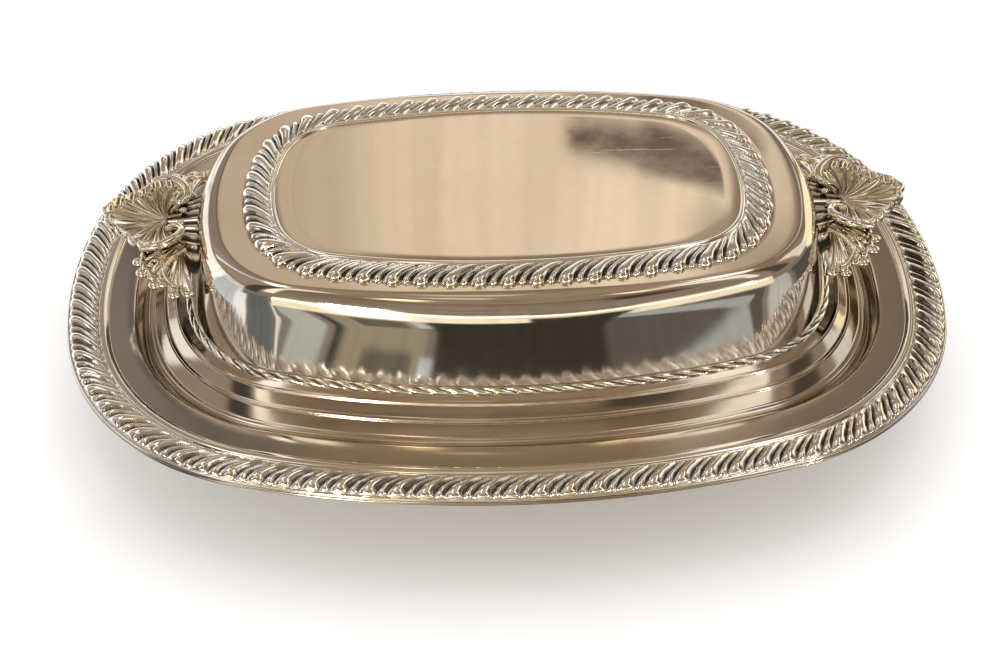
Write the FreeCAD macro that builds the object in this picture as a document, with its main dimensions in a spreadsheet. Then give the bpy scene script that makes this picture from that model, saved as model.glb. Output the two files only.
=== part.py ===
import FreeCAD
import Part
import math
import os
import Sketcher
from FreeCAD import Placement, Rotation, Vector

# Oblong covered serving dish of silver plate.
# Frame: +Z up, +X along the length towards the right handle, +Y to the back,
# origin on the table under the middle of the dish.

# Driving sizes in millimetres, one spreadsheet cell each.
# A name that ends in _inset is measured inwards from the rim outline, and one that ends
# in _top_inset is measured inwards from the outline of the cover's top border.
SIZES = {
    # Rim outline: two long bowed sides, two bowed ends and four corners, all tangent arcs
    "rim_half_length": 165.0,
    "rim_half_width": 119.0,
    "rim_side_radius": 367.0,
    "rim_end_radius": 165.0,
    "rim_corner_radius": 92.0,
    # Outline of the border on the cover's top
    "top_half_length": 95.5,
    "top_half_width": 56.4,
    "top_side_radius": 313.0,
    "top_end_radius": 91.0,
    "top_corner_radius": 36.0,
    # Dish: height of the flange's under side above the table, and its sheet
    "rim_height": 40.0,
    "dish_thickness": 1.2,
    "flange_width": 25.0,
    "recess_slope_width": 3.6,
    "recess_depth": 4.5,
    "ledge_width": 9.4,
    "well_taper": 9.0,
    "well_base_width": 6.0,
    "well_base_rise": 6.0,
    "plate_overlap": 2.0,
    # Gadroon border on the rim: a ground band with a bevelled inner side, and slanting lobes
    "rim_border_setback": 0.3,
    "rim_border_width": 15.4,
    "rim_border_bevel_width": 4.2,
    "rim_border_ground_height": 1.8,
    "rim_lobe_outer_inset": 1.9,
    "rim_lobe_band_width": 7.6,
    "rim_lobe_width": 4.8,
    "rim_lobe_height": 2.2,
    "rim_lobe_hip": 2.2,
    # Cover: sheet, stepped flare, wall and domed shoulder
    "cover_thickness": 1.1,
    "cover_edge_clearance": 0.7,
    "cover_seat_width": 2.0,
    "flare_width": 11.0,
    "flare_rise": 8.3,
    "flare_ledge_width": 5.0,
    "flare_ledge_rise": 0.6,
    "wall_lean": 5.7,
    "wall_rise": 26.3,
    "shoulder_turn_width": 3.2,
    "shoulder_turn_rise": 5.2,
    "shoulder_slope_rise": 1.9,
    "crown_slope_rise": 1.3,
    "top_border_width": 11.1,
    # Gadroon border round the top panel; its ground band stands above the panel
    "top_border_ground_height": 0.4,
    "top_lobe_outer_top_inset": 2.1,
    "top_lobe_band_width": 6.8,
    "top_lobe_width": 4.6,
    "top_lobe_height": 2.0,
    "top_lobe_hip": 2.2,
    # Small rope border at the foot of the wall
    "rope_width": 1.9,
    "rope_height": 2.2,
    # Side handles: the crown's height is above the under side of the rim and carries all their
    # other heights, the root is buried in the wall's top, and the shell's centre stands out
    # from the wall's foot
    "handle_root_burial": 6.0,
    "handle_half_width": 35.0,
    "handle_thickness": 2.6,
    "handle_crown_height": 27.6,
    "handle_crown_half_width": 15.0,
    "handle_side_drop": 5.0,
    "shell_centre_gap": 7.3,
    "shell_radius": 21.0,
    "shell_root_radius": 4.5,
    "shell_edge_rise": 2.0,
    "shell_rib_depth": 2.0,
    "shell_rib_crown": 1.4,
    "shell_rib_root_half_width": 0.8,
    "shell_rib_edge_half_width": 2.4,
    "shell_roll_radius": 1.7,
    "leaf_offset": 13.0,
    "leaf_root_radius": 4.5,
    "leaf_root_depth": 2.2,
    "leaf_centre_drop": 0.8,
    "leaf_reach": 20.5,
    "leaf_fall": 4.6,
    "leaf_rib_root_half_width": 0.7,
    "leaf_rib_edge_half_width": 2.4,
    "leaf_rib_depth": 1.8,
    "leaf_rib_crown": 1.6,
    # One overrun for all cuts
    "cut_overrun": 5.0,
}

# Lobes of each gadroon border, and how far a lobe's inner end runs ahead of its outer end,
# as a share of the distance between two lobes
RIM_LOBES = 97
TOP_LOBES = 50
LOBE_LEAN_SHARE = 0.7

# The turns in degrees between which the ribs of the shell and of a leaf fan out
SHELL_SPREAD = (-102, 102)
LEAF_SPREAD = (16, 96)

# Reach of each rib, as a share of the shell's radius or of the leaf's reach
SHELL_REACH_SHARES = [0.8, 0.93, 0.9, 0.87, 1.0, 0.87, 0.9, 0.93, 0.8]
LEAF_REACH_SHARES = [0.8, 0.94, 1.0, 1.05, 1.16]

# Sides of the bars that make the shell's rolled edge, and how far each reaches past its
# ends, as a share of its radius
ROLL_SIDES = 5
ROLL_OVERLAP_SHARE = 0.3

# How deep a lobe's foot lies in the ground that carries it, as a share of that ground's height
LOBE_FOOT_SHARE = 0.5

# Plan of a handle's web between root and shell: share of the way out to the shell's
# centre, and share of the half width
HANDLE_PLAN_SHARES = [
    (0.0, 1.0), (0.5, 1.0), (0.95, 0.82), (1.25, 0.58), (1.7, 0.52), (1.95, 0.32), (2.1, 0.1)]

doc = FreeCAD.newDocument("CoveredServingDish")
sheet = doc.addObject("Spreadsheet::Sheet", "Sizes")
for row, (alias, length) in enumerate(SIZES.items(), 1):
    sheet.set("A%d" % row, alias)
    sheet.set("B%d" % row, str(length))
    sheet.setAlias("B%d" % row, alias)
doc.recompute()


class Length:
    """A length that knows both its value and its formula in the sheet's sizes."""

    def __init__(self, value, text):
        self.value = value
        self.text = text

    def __add__(self, other):
        other = as_length(other)
        return Length(self.value + other.value, "%s + %s" % (self.text, other.text))

    def __sub__(self, other):
        other = as_length(other)
        return Length(self.value - other.value, "%s - (%s)" % (self.text, other.text))

    def __mul__(self, share):
        return Length(self.value * share, "(%s) * %.9f" % (self.text, share))


def as_length(entry):
    """Zero is the only bare length that formulas take."""
    return entry if isinstance(entry, Length) else Length(0.0, "0")


def size(alias):
    return Length(float(sheet.get(alias)), "Sizes.%s" % alias)


ZERO = Length(0.0, "0")


class Outline:
    """Half length, half width and the three radii of an oblong of tangent arcs."""

    def __init__(self, half_length, half_width, side_radius, end_radius, corner_radius):
        self.lengths = [half_length, half_width, side_radius, end_radius, corner_radius]

    def inset(self, amount):
        return Outline(*[length - amount for length in self.lengths])

    def corner(self):
        """Centre of the +X +Y corner arc and the directions where it meets its neighbours."""
        half_length, half_width, side, end, corner = [length.value for length in self.lengths]
        side_centre = Vector(0, half_width - side, 0)
        end_centre = Vector(half_length - end, 0, 0)
        span = end_centre - side_centre
        side_reach = side - corner
        end_reach = end - corner
        along = (side_reach ** 2 - end_reach ** 2 + span.Length ** 2) / (2 * span.Length)
        across = math.sqrt(side_reach ** 2 - along ** 2)
        direction = span / span.Length
        outward = Vector(direction.y, -direction.x, 0)
        centre = side_centre + direction * along + outward * across
        side_turn = math.atan2(centre.y - side_centre.y, centre.x - side_centre.x)
        end_turn = math.atan2(centre.y - end_centre.y, centre.x - end_centre.x)
        return centre, side_turn, end_turn

    def spread(self, count):
        """Evenly spaced places round the outline, each a point and its outward direction."""
        half_length, half_width, side, end, corner = [length.value for length in self.lengths]
        centre, side_turn, end_turn = self.corner()
        quarter = [(half_length - end, 0.0, end, 0.0, end_turn),
                   (centre.x, centre.y, corner, end_turn, side_turn),
                   (0.0, half_width - side, side, side_turn, math.pi / 2)]
        runs = [radius * (last - first) for _, _, radius, first, last in quarter]
        quarter_run = sum(runs)
        places = []
        for number in range(count):
            quadrant, rest = divmod((number + 0.5) / count * 4, 1)
            flip_x = 1 if quadrant in (0, 3) else -1
            flip_y = 1 if quadrant in (0, 1) else -1
            run = quarter_run * (1 - rest if quadrant in (1, 3) else rest)
            arc = 0
            while arc < 2 and run > runs[arc]:
                run -= runs[arc]
                arc += 1
            x, y, radius, first, _ = quarter[arc]
            turn = first + run / radius
            outward = Vector(math.cos(turn) * flip_x, math.sin(turn) * flip_y, 0)
            places.append((Vector(x * flip_x, y * flip_y, 0) + outward * radius, outward))
        return places, quarter_run * 4 / count


RIM = Outline(*[size("rim_" + word) for word in (
    "half_length", "half_width", "side_radius", "end_radius", "corner_radius")])
TOP = Outline(*[size("top_" + word) for word in (
    "half_length", "half_width", "side_radius", "end_radius", "corner_radius")])


def new_sketch(name, body=None, plane="XY_Plane"):
    """A sketch on an origin plane, of the body where one is given."""
    if body is None:
        return doc.addObject("Sketcher::SketchObject", name)
    sketch = body.newObject("Sketcher::SketchObject", name)
    origin_plane = [f for f in body.Origin.OriginFeatures if f.Role == plane][0]
    sketch.AttachmentSupport = [(origin_plane, "")]
    sketch.MapMode = "FlatFace"
    return sketch


def dimension(sketch, kind, *places, length):
    """A driving dimension bound to the length's formula."""
    index = sketch.addConstraint(Sketcher.Constraint(kind, *places, length.value))
    sketch.setExpression("Constraints[%d]" % index, length.text)


def set_lengths(piece, lengths):
    """Sets a primitive's sizes and binds each to its formula."""
    for name, length in lengths.items():
        setattr(piece, name, length.value)
        piece.setExpression(name, length.text)


def lift(sketch, height):
    """Raises a free sketch to a height, or offsets an attached one from its plane."""
    if sketch.MapMode == "Deactivated":
        sketch.Placement = Placement(Vector(0, 0, height.value), Rotation())
        sketch.setExpression("Placement.Base.z", height.text)
    else:
        sketch.AttachmentOffset = Placement(Vector(0, 0, height.value), Rotation())
        sketch.setExpression("AttachmentOffset.Base.z", height.text)


def outline_sketch(name, outline, height=ZERO, body=None):
    """A closed outline of twelve arcs, split where it crosses the two axes."""
    sketch = new_sketch(name, body)
    half_length, half_width, side, end, corner = outline.lengths
    centre, side_turn, end_turn = outline.corner()
    end_x = half_length.value - end.value
    side_y = half_width.value - side.value
    turns = [0, end_turn, side_turn, math.pi / 2]
    quarter = [(end_x, 0, end), (centre.x, centre.y, corner), (0, side_y, side)]
    arcs = []
    for flip_x, flip_y, backwards in ((1, 1, False), (-1, 1, True), (-1, -1, False), (1, -1, True)):
        steps = [2, 1, 0] if backwards else [0, 1, 2]
        for step in steps:
            x, y, radius = quarter[step]
            first, last = turns[step], turns[step + 1]
            if flip_x < 0:
                first, last = math.pi - last, math.pi - first
            if flip_y < 0:
                first, last = -last, -first
            circle = Part.Circle(Vector(x * flip_x, y * flip_y, 0), Vector(0, 0, 1), radius.value)
            arcs.append(sketch.addGeometry(Part.ArcOfCircle(circle, first, last), False))
    count = len(arcs)
    rules = []
    for number, arc in enumerate(arcs):
        following = arcs[(number + 1) % count]
        if number % 3 == 2:
            rules.append(Sketcher.Constraint("Coincident", arc, 2, following, 1))
            rules.append(Sketcher.Constraint("Equal", arc, following))
        else:
            rules.append(Sketcher.Constraint("Tangent", arc, 2, following, 1))
    for number in (0, 5, 6, 11):
        rules.append(Sketcher.Constraint("PointOnObject", arcs[number], 3, -1))
    for number in (2, 3, 8, 9):
        rules.append(Sketcher.Constraint("PointOnObject", arcs[number], 3, -2))
    for number in (0, 6):
        rules.append(Sketcher.Constraint("PointOnObject", arcs[number], 1, -1))
    for number in (3, 9):
        rules.append(Sketcher.Constraint("PointOnObject", arcs[number], 1, -2))
    sketch.addConstraint(rules)
    for number, radius in ((0, end), (5, end), (2, side), (8, side)):
        dimension(sketch, "Radius", arcs[number], length=radius)
    for number in (1, 4, 7, 10):
        dimension(sketch, "Radius", arcs[number], length=corner)
    dimension(sketch, "DistanceX", -1, 1, arcs[0], 1, length=half_length)
    dimension(sketch, "DistanceX", arcs[6], 1, -1, 1, length=half_length)
    dimension(sketch, "DistanceY", -1, 1, arcs[3], 1, length=half_width)
    dimension(sketch, "DistanceY", arcs[9], 1, -1, 1, length=half_width)
    lift(sketch, height)
    return sketch


def add_chain(sketch, points, closed):
    """Straight lines through dimensioned points, which are pairs of lengths."""
    ends = points[1:] + points[:1] if closed else points[1:]
    lines = []
    for start, end in zip(points, ends):
        line = Part.LineSegment(Vector(start[0].value, start[1].value, 0),
                                Vector(end[0].value, end[1].value, 0))
        lines.append(sketch.addGeometry(line, False))
    for number, line in enumerate(lines):
        if number + 1 < len(lines) or closed:
            following = lines[(number + 1) % len(lines)]
            sketch.addConstraint(Sketcher.Constraint("Coincident", line, 2, following, 1))
    corners = [(line, 1) for line in lines] + ([] if closed else [(lines[-1], 2)])
    for (line, end), (across, up) in zip(corners, points):
        dimension(sketch, "DistanceX", -1, 1, line, end, length=across)
        dimension(sketch, "DistanceY", -1, 1, line, end, length=up)


def chain_sketch(name, points, closed, body=None, plane="XZ_Plane"):
    """A sketch of one chain of lines, free ones standing on the XZ plane."""
    sketch = new_sketch(name, body, plane)
    if body is None:
        sketch.Placement = Placement(Vector(0, 0, 0), Rotation(Vector(1, 0, 0), 90))
    add_chain(sketch, points, closed)
    return sketch


def ring_body(label, outline, points):
    """A border strip: a closed section swept once round an outline."""
    body = doc.addObject("PartDesign::Body", label)
    body.Label = label
    path = outline_sketch(label + "_path", outline, ZERO, body)
    section = chain_sketch(label + "_section", points, True, body)
    doc.recompute()
    pipe = body.newObject("PartDesign::AdditivePipe", label + "_pipe")
    pipe.Profile = section
    pipe.Spine = (path, [])
    body.Tip = pipe
    doc.recompute()
    return body


# Heights that several pieces share
flange_top = size("rim_height") + size("dish_thickness")
ledge_top = flange_top - size("recess_depth")
recess_inset = size("flange_width") + size("recess_slope_width")
cover_edge_inset = recess_inset + size("cover_edge_clearance")


def across_rim(inset):
    return size("rim_half_length") - inset


def across_top(inset):
    return size("top_half_length") - inset


def dish_shell():
    """The raised dish: flange, recess for the cover, ledge and well, all one sheet."""
    lip_inset = recess_inset + size("ledge_width")
    base_inset = lip_inset + size("well_taper")
    floor_inset = base_inset + size("well_base_width")
    floor_top = size("dish_thickness")
    plate_inset = floor_inset + size("plate_overlap")
    top = [
        (across_rim(ZERO), flange_top),
        (across_rim(size("flange_width")), flange_top),
        (across_rim(recess_inset), ledge_top),
        (across_rim(lip_inset), ledge_top),
        (across_rim(base_inset), floor_top + size("well_base_rise")),
        (across_rim(floor_inset), floor_top),
        (across_rim(plate_inset), floor_top),
    ]
    under = mitred(top, size("dish_thickness"))
    path = outline_sketch("dish_path", RIM)
    section = chain_sketch("dish_section", top + under[::-1], True)
    doc.recompute()
    swept = doc.addObject("Part::Sweep", "dish_sides")
    swept.Sections = [section]
    swept.Spine = (path, ["Edge%d" % (n + 1) for n in range(len(path.Shape.Edges))])
    swept.Solid = True
    plate_outline = outline_sketch("dish_plate_outline", RIM.inset(floor_inset))
    plate = doc.addObject("Part::Extrusion", "dish_plate")
    plate.Base = plate_outline
    plate.Dir = Vector(0, 0, 1)
    plate.DirMode = "Custom"
    plate.Solid = True
    plate.LengthFwd = size("dish_thickness").value
    plate.setExpression("LengthFwd", "Sizes.dish_thickness")
    shell = doc.addObject("Part::Fuse", "dish_shell")
    shell.Base = swept
    shell.Tool = plate
    shell.Refine = True
    shell.Label = "dish_shell"
    doc.recompute()
    return shell


def gadroon_lobes(label, outline, count, ground, outer_inset):
    """Slanting roof-shaped lobes with hipped ends, evenly spread along the middle of their band."""
    band = size(label + "_lobe_band_width")
    places, pitch = outline.inset(outer_inset + band * 0.5).spread(count)
    slant = pitch * LOBE_LEAN_SHARE
    lobe_run = Length(math.hypot(band.value, slant), "(%s) * %.9f" % (
        band.text, math.hypot(band.value, slant) / band.value))
    half_width = size(label + "_lobe_width") * 0.5
    hip = size(label + "_lobe_hip")
    lobes = []
    for number, (place, outward) in enumerate(places):
        along = Vector(-outward.y, outward.x, 0)
        inwards = along * slant - outward * band.value
        lobe = doc.addObject("Part::Wedge", "%s_lobe_%d" % (label, number + 1))
        set_lengths(lobe, {
            "Xmin": half_width * -1, "Xmax": half_width, "X2min": ZERO, "X2max": ZERO,
            "Ymin": size(label + "_border_ground_height") * -LOBE_FOOT_SHARE,
            "Ymax": size(label + "_lobe_height"),
            "Zmin": lobe_run * -0.5, "Zmax": lobe_run * 0.5,
            "Z2min": lobe_run * -0.5 + hip, "Z2max": lobe_run * 0.5 - hip})
        upright = Rotation(Vector(1, 0, 0), 90)
        heading = Rotation(Vector(0, 0, 1), math.degrees(math.atan2(inwards.y, inwards.x)) + 90)
        lobe.Placement = Placement(place + Vector(0, 0, ground.value), heading * upright)
        lobes.append(lobe)
    return lobes


def fused(label, forms):
    """One solid of several forms."""
    solid = doc.addObject("Part::MultiFuse", label)
    solid.Shapes = forms
    solid.Label = label
    doc.recompute()
    return solid


def dish_gadroon_border():
    """The border mount on the flange's edge, bevelled down to the flange on its inner side."""
    seat = flange_top
    ground = seat + size("rim_border_ground_height")
    points = [
        (across_rim(size("rim_border_setback")), seat),
        (across_rim(size("rim_border_setback")), ground),
        (across_rim(size("rim_border_width") - size("rim_border_bevel_width")), ground),
        (across_rim(size("rim_border_width")), seat),
    ]
    ring = ring_body("rim_border_ground", RIM, points)
    lobes = gadroon_lobes("rim", RIM, RIM_LOBES, ground, size("rim_lobe_outer_inset"))
    return fused("dish_gadroon_border", [ring] + lobes)


def cover_levels():
    """Outer skin of the cover by name, bottom to top: outline, inset along the length, height."""
    inset = cover_edge_inset
    height = ledge_top
    levels = {"seat": (RIM.inset(inset), inset, height)}
    steps = [
        ("edge_top", ZERO, size("cover_thickness")),
        ("flare_top", size("flare_width"), size("flare_rise")),
        ("wall_foot", size("flare_ledge_width"), size("flare_ledge_rise")),
        ("wall_top", size("wall_lean"), size("wall_rise")),
        ("shoulder", size("shoulder_turn_width"), size("shoulder_turn_rise")),
    ]
    for name, width, rise in steps:
        inset = inset + width
        height = height + rise
        levels[name] = (RIM.inset(inset), inset, height)
    inset = size("rim_half_length") - size("top_half_length")
    height = height + size("shoulder_slope_rise")
    levels["border_outside"] = (TOP, inset, height)
    border_width = size("top_border_width")
    levels["border_inside"] = (TOP.inset(border_width), inset + border_width,
                               height + size("crown_slope_rise"))
    return levels


def mitre_shares(places):
    """For each corner of a line from outside to inside, how far a skin one unit thick on
    the under side moves outwards and down there."""
    directions = []
    for start, end in zip(places, places[1:]):
        reach = math.hypot(end[0] - start[0], end[1] - start[1])
        directions.append(((start[0] - end[0]) / reach, (end[1] - start[1]) / reach))
    before = [directions[0]] + directions
    after = directions + [directions[-1]]
    shares = []
    for first, second in zip(before, after):
        spread = 1 + first[0] * second[0] + first[1] * second[1]
        shares.append(((first[1] + second[1]) / spread, (first[0] + second[0]) / spread))
    return shares


def mitred(points, thickness):
    """The under side of a sheet whose top runs through the points, outside to inside."""
    shares = mitre_shares([(across.value, up.value) for across, up in points])
    return [(across - thickness * inwards, up - thickness * down)
            for (across, up), (inwards, down) in zip(points, shares)]


def inner_levels(levels):
    """The cover's inner skin: each level moves one sheet thickness along its mitre, and the
    lowest lies where the skin leaves the wider edge that the cover stands on."""
    skin = [level for name, level in levels.items() if name != "seat"]
    _, flat_start, flat_height = levels["border_inside"]
    flat_end = across_rim(flat_start + size("top_border_width"))
    places = [(across_rim(along).value, up.value) for _, along, up in skin]
    shares = mitre_shares(places + [(flat_end.value, flat_height.value)])
    inner = [(outline.inset(size("cover_thickness") * inwards), up - size("cover_thickness") * down)
             for (outline, _, up), (inwards, down) in zip(skin, shares)]
    skin_width = size("cover_thickness") * shares[0][0]
    slope = size("flare_rise").value / size("flare_width").value
    seat_top = inner[0][1] + (size("cover_seat_width") - skin_width) * slope
    inner[0] = (levels["seat"][0].inset(size("cover_seat_width")), seat_top)
    return inner


def loft(name, levels):
    """A solid through closed outlines, straight between neighbours."""
    sections = []
    for number, (outline, height) in enumerate(levels):
        sections.append(outline_sketch("%s_level_%d" % (name, number), outline, height))
    solid = doc.addObject("Part::Loft", name)
    solid.Sections = sections
    solid.Solid = True
    solid.Ruled = True
    doc.recompute()
    return solid


def cover_shell(levels):
    """The raised cover: stepped flare, wall, domed shoulder and flat top panel."""
    outer = loft("cover_outer_form", [(outline, up) for outline, _, up in levels.values()])
    inside = inner_levels(levels)
    below = inside[0][1] - size("cut_overrun")
    inside.insert(0, (inside[0][0], below))
    inner = loft("cover_inner_form", inside)
    shell = doc.addObject("Part::Cut", "cover_shell")
    shell.Base = outer
    shell.Tool = inner
    shell.Label = "cover_shell"
    doc.recompute()
    return shell


def cover_gadroon_border(levels):
    """The border mount round the top panel, on the slope between shoulder and panel."""
    seat_outer = levels["border_outside"][2]
    seat_inner = levels["border_inside"][2]
    ground = seat_inner + size("top_border_ground_height")
    points = [
        (across_top(ZERO), seat_outer),
        (across_top(ZERO), ground),
        (across_top(size("top_border_width")), ground),
        (across_top(size("top_border_width")), seat_inner),
    ]
    ring = ring_body("top_border_ground", TOP, points)
    lobes = gadroon_lobes("top", TOP, TOP_LOBES, ground, size("top_lobe_outer_top_inset"))
    return fused("cover_gadroon_border", [ring] + lobes)


def cover_rope_border(levels):
    """The narrow rope border in the angle between flare and wall."""
    _, ledge_end, ledge_height = levels["wall_foot"]
    lean = size("rope_height") * (size("wall_lean").value / size("wall_rise").value)
    slope = size("rope_width") * (size("flare_ledge_rise").value / size("flare_ledge_width").value)
    points = [
        (across_rim(ledge_end), ledge_height),
        (across_rim(ledge_end) + size("rope_width"), ledge_height - slope),
        (across_rim(ledge_end + lean), ledge_height + size("rope_height")),
    ]
    return ring_body("cover_rope_border", RIM, points)


def handle_web(body, label, levels):
    """The arched plate that carries shell and leaves, trimmed to its plan."""
    root = across_rim(levels["wall_top"][1]) - size("handle_root_burial")
    centre = across_rim(levels["wall_foot"][1]) + size("shell_centre_gap")
    reach = centre + size("shell_radius") - root
    crown = size("rim_height") + size("handle_crown_height")
    side = crown - size("handle_side_drop")
    broad = size("handle_half_width")
    narrow = size("handle_crown_half_width")
    over = [(broad * -1, side), (narrow * -1, crown), (narrow, crown), (broad, side)]
    under = [(across, up - size("handle_thickness")) for across, up in reversed(over)]
    section = chain_sketch(label + "_arch", over + under, True, body, "YZ_Plane")
    lift(section, root)
    doc.recompute()
    plate = body.newObject("PartDesign::Pad", label + "_plate")
    plate.Profile = section
    plate.Length = reach.value
    plate.setExpression("Length", reach.text)
    way = centre - root
    front = [(root + way * out, broad * (share * -1)) for out, share in HANDLE_PLAN_SHARES]
    back = [(across, up * -1) for across, up in reversed(front)]
    frame_near = root - size("cut_overrun")
    frame_far = root + reach + size("cut_overrun")
    frame_side = broad + size("cut_overrun")
    outside = [(frame_near, frame_side * -1), (frame_far, frame_side * -1),
               (frame_far, frame_side), (frame_near, frame_side)]
    plan = chain_sketch(label + "_plan", outside, True, body, "XY_Plane")
    add_chain(plan, front + back, True)
    doc.recompute()
    trim = body.newObject("PartDesign::Pocket", label + "_trim")
    trim.Profile = plan
    trim.Type = "ThroughAll"
    trim.Midplane = True
    doc.recompute()


def rib(name, spot, heading, rise, start, run, widths, depth, crown):
    """A straight rib that widens outwards, along a heading in degrees round a spot."""
    near, far = widths
    piece = doc.addObject("Part::Wedge", name)
    set_lengths(piece, {
        "Xmin": near * -1, "Xmax": near, "X2min": far * -1, "X2max": far,
        "Ymin": start, "Ymax": run,
        "Zmin": depth * -1, "Zmax": crown, "Z2min": depth * -1, "Z2max": crown})
    tilt = Rotation(Vector(1, 0, 0), math.degrees(math.atan2(rise, run.value)))
    piece.Placement = Placement(spot, Rotation(Vector(0, 0, 1), heading - 90) * tilt)
    return piece, piece.Placement.multVec(Vector(0, run.value, 0))


def shell_fan(label, turn, centre):
    """The shell: ribs that fan out and rise from its centre, and the rolled edge at their ends."""
    crown = size("rim_height") + size("handle_crown_height")
    spot = turn.multVec(Vector(centre.value, 0, crown.value))
    heading = turn.toEuler()[0]
    ribs, ends = [], []
    first, last = SHELL_SPREAD
    for number, share in enumerate(SHELL_REACH_SHARES):
        run = size("shell_radius") * share - size("shell_roll_radius")
        piece, end = rib("%s_shell_rib_%d" % (label, number + 1), spot,
                         heading + first + (last - first) * number / (len(SHELL_REACH_SHARES) - 1),
                         size("shell_edge_rise").value, size("shell_root_radius"), run,
                         (size("shell_rib_root_half_width"), size("shell_rib_edge_half_width")),
                         size("shell_rib_depth"), size("shell_rib_crown"))
        ribs.append(piece)
        ends.append(end)
    for number, (start, end) in enumerate(zip(ends, ends[1:])):
        chord = end - start
        roll = doc.addObject("Part::Prism", "%s_shell_roll_%d" % (label, number + 1))
        roll.Polygon = ROLL_SIDES
        overlap = size("shell_roll_radius") * ROLL_OVERLAP_SHARE
        set_lengths(roll, {"Circumradius": size("shell_roll_radius"),
                           "Height": Length(chord.Length, "%.9f * Sizes.shell_radius" % (
                               chord.Length / size("shell_radius").value)) + overlap * 2})
        along = chord / chord.Length
        roll.Placement = Placement(start - along * overlap.value, Rotation(Vector(0, 0, 1), along))
        ribs.append(roll)
    return fused(label + "_shell", ribs)


def leaf_fan(label, turn, levels, side):
    """One drooping leaf beside the shell, as ribs that fan out from the wall."""
    across = across_rim(levels["wall_foot"][1]) - size("leaf_root_depth")
    height = size("rim_height") + size("handle_crown_height") - size("leaf_centre_drop")
    spot = turn.multVec(Vector(across.value, size("leaf_offset").value * side, height.value))
    first, last = LEAF_SPREAD
    ribs = []
    for number, share in enumerate(LEAF_REACH_SHARES):
        spread = first + (last - first) * number / (len(LEAF_REACH_SHARES) - 1)
        fall = size("leaf_fall").value * math.sin(math.radians(spread))
        piece, _ = rib("%s_rib_%d" % (label, number + 1), spot, turn.toEuler()[0] + spread * side,
                       -fall, size("leaf_root_radius"), size("leaf_reach") * share,
                       (size("leaf_rib_root_half_width"), size("leaf_rib_edge_half_width")),
                       size("leaf_rib_depth"), size("leaf_rib_crown"))
        ribs.append(piece)
    return fused(label, ribs)


def handle(label, heading, levels, wall_form):
    """A cast lug of web, shell and two leaves, cut to the wall that it is soldered to."""
    turn = Rotation(Vector(0, 0, 1), heading)
    body = doc.addObject("PartDesign::Body", label + "_web")
    handle_web(body, label, levels)
    body.Placement = Placement(Vector(0, 0, 0), turn)
    centre = across_rim(levels["wall_foot"][1]) + size("shell_centre_gap")
    casting = fused(label + "_casting", [
        body,
        shell_fan(label, turn, centre),
        leaf_fan(label + "_back_leaf", turn, levels, 1),
        leaf_fan(label + "_front_leaf", turn, levels, -1),
    ])
    fitted = doc.addObject("Part::Cut", label)
    fitted.Base = casting
    fitted.Tool = wall_form
    fitted.Label = label
    doc.recompute()
    return fitted


def build():
    levels = cover_levels()
    wall = [levels["wall_foot"], levels["wall_top"]]
    wall_form = loft("cover_wall_form", [(outline, up) for outline, _, up in wall])
    return [
        dish_shell(),
        dish_gadroon_border(),
        cover_shell(levels),
        cover_gadroon_border(levels),
        cover_rope_border(levels),
        handle("right_handle", 0, levels, wall_form),
        handle("left_handle", 180, levels, wall_form),
    ]


pieces = build()
doc.recompute()
for entry in doc.Objects:
    if "Invalid" in entry.State or "Error" in entry.State:
        raise RuntimeError("%s failed: %s" % (entry.Name, entry.State))
os.makedirs("parts", exist_ok=True)
for piece in pieces:
    if piece.Shape.isNull() or not piece.Shape.isValid():
        raise RuntimeError("%s has no valid shape" % piece.Label)
    piece.Shape.exportStep("parts/%s.step" % piece.Label)
    box = piece.Shape.BoundBox
    print("%-22s solids %d volume %.1f mm3 size %.1f x %.1f x %.1f mm" % (
        piece.Label, len(piece.Shape.Solids), piece.Shape.Volume, box.XLength, box.YLength, box.ZLength))
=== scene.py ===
import logging
import math
from dataclasses import dataclass, field
from enum import Enum

import bpy
import numpy as np
from mathutils import Matrix, Vector


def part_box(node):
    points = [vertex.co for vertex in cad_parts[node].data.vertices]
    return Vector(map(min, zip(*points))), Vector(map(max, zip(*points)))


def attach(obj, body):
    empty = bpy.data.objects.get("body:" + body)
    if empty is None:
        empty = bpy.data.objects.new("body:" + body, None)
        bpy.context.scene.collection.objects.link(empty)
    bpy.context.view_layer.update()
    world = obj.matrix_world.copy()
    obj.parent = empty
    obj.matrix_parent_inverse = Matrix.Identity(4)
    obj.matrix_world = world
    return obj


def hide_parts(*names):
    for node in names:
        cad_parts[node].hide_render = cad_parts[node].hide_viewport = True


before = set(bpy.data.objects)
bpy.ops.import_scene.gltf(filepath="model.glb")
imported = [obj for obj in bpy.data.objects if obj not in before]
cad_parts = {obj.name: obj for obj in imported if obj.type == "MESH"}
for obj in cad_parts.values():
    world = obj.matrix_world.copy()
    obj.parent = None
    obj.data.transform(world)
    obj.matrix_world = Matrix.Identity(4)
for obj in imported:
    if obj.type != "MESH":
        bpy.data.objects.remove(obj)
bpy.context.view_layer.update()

LOG = logging.getLogger("covered_dish")
MM = 0.001

# Types that many functions share
Triple = tuple[float, float, float]
Pairs = tuple[tuple[float, float], ...]
Faces = list[tuple[int, ...]]
Socket = bpy.types.NodeSocket

# Plain white
WHITE = (1.0, 1.0, 1.0)

# An outline has twelve arcs, three in each quarter
ARCS = 12

# Signs that turn a form to the dish's other end, or to its front
HALF_TURN = (-1.0, -1.0, 1.0)
FRONT_TO_BACK = (1.0, -1.0, 1.0)

# Names of the attributes that the pieces carry for their relief and their finish, painted shade and painted
# warm reflection among them
ALONG = "along"
ACROSS = "across"
LIFT = "lift"
OUTWARD = "outward"
# Patina in the hollows, and painted shade under the castings and on the berries' lower halves
PATINA_AND_SHADE = "groove"
# Warm tone: tarnish, partly a painted warm reflection of the room
WARMTH = "warmth"
# Painted shade where parts meet, under the dish and inside the cover
PAINTED_SHADE = "shade"


class End(Enum):
    """The two ends of the dish, each with its sign along X."""

    RIGHT = 1
    LEFT = -1


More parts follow.
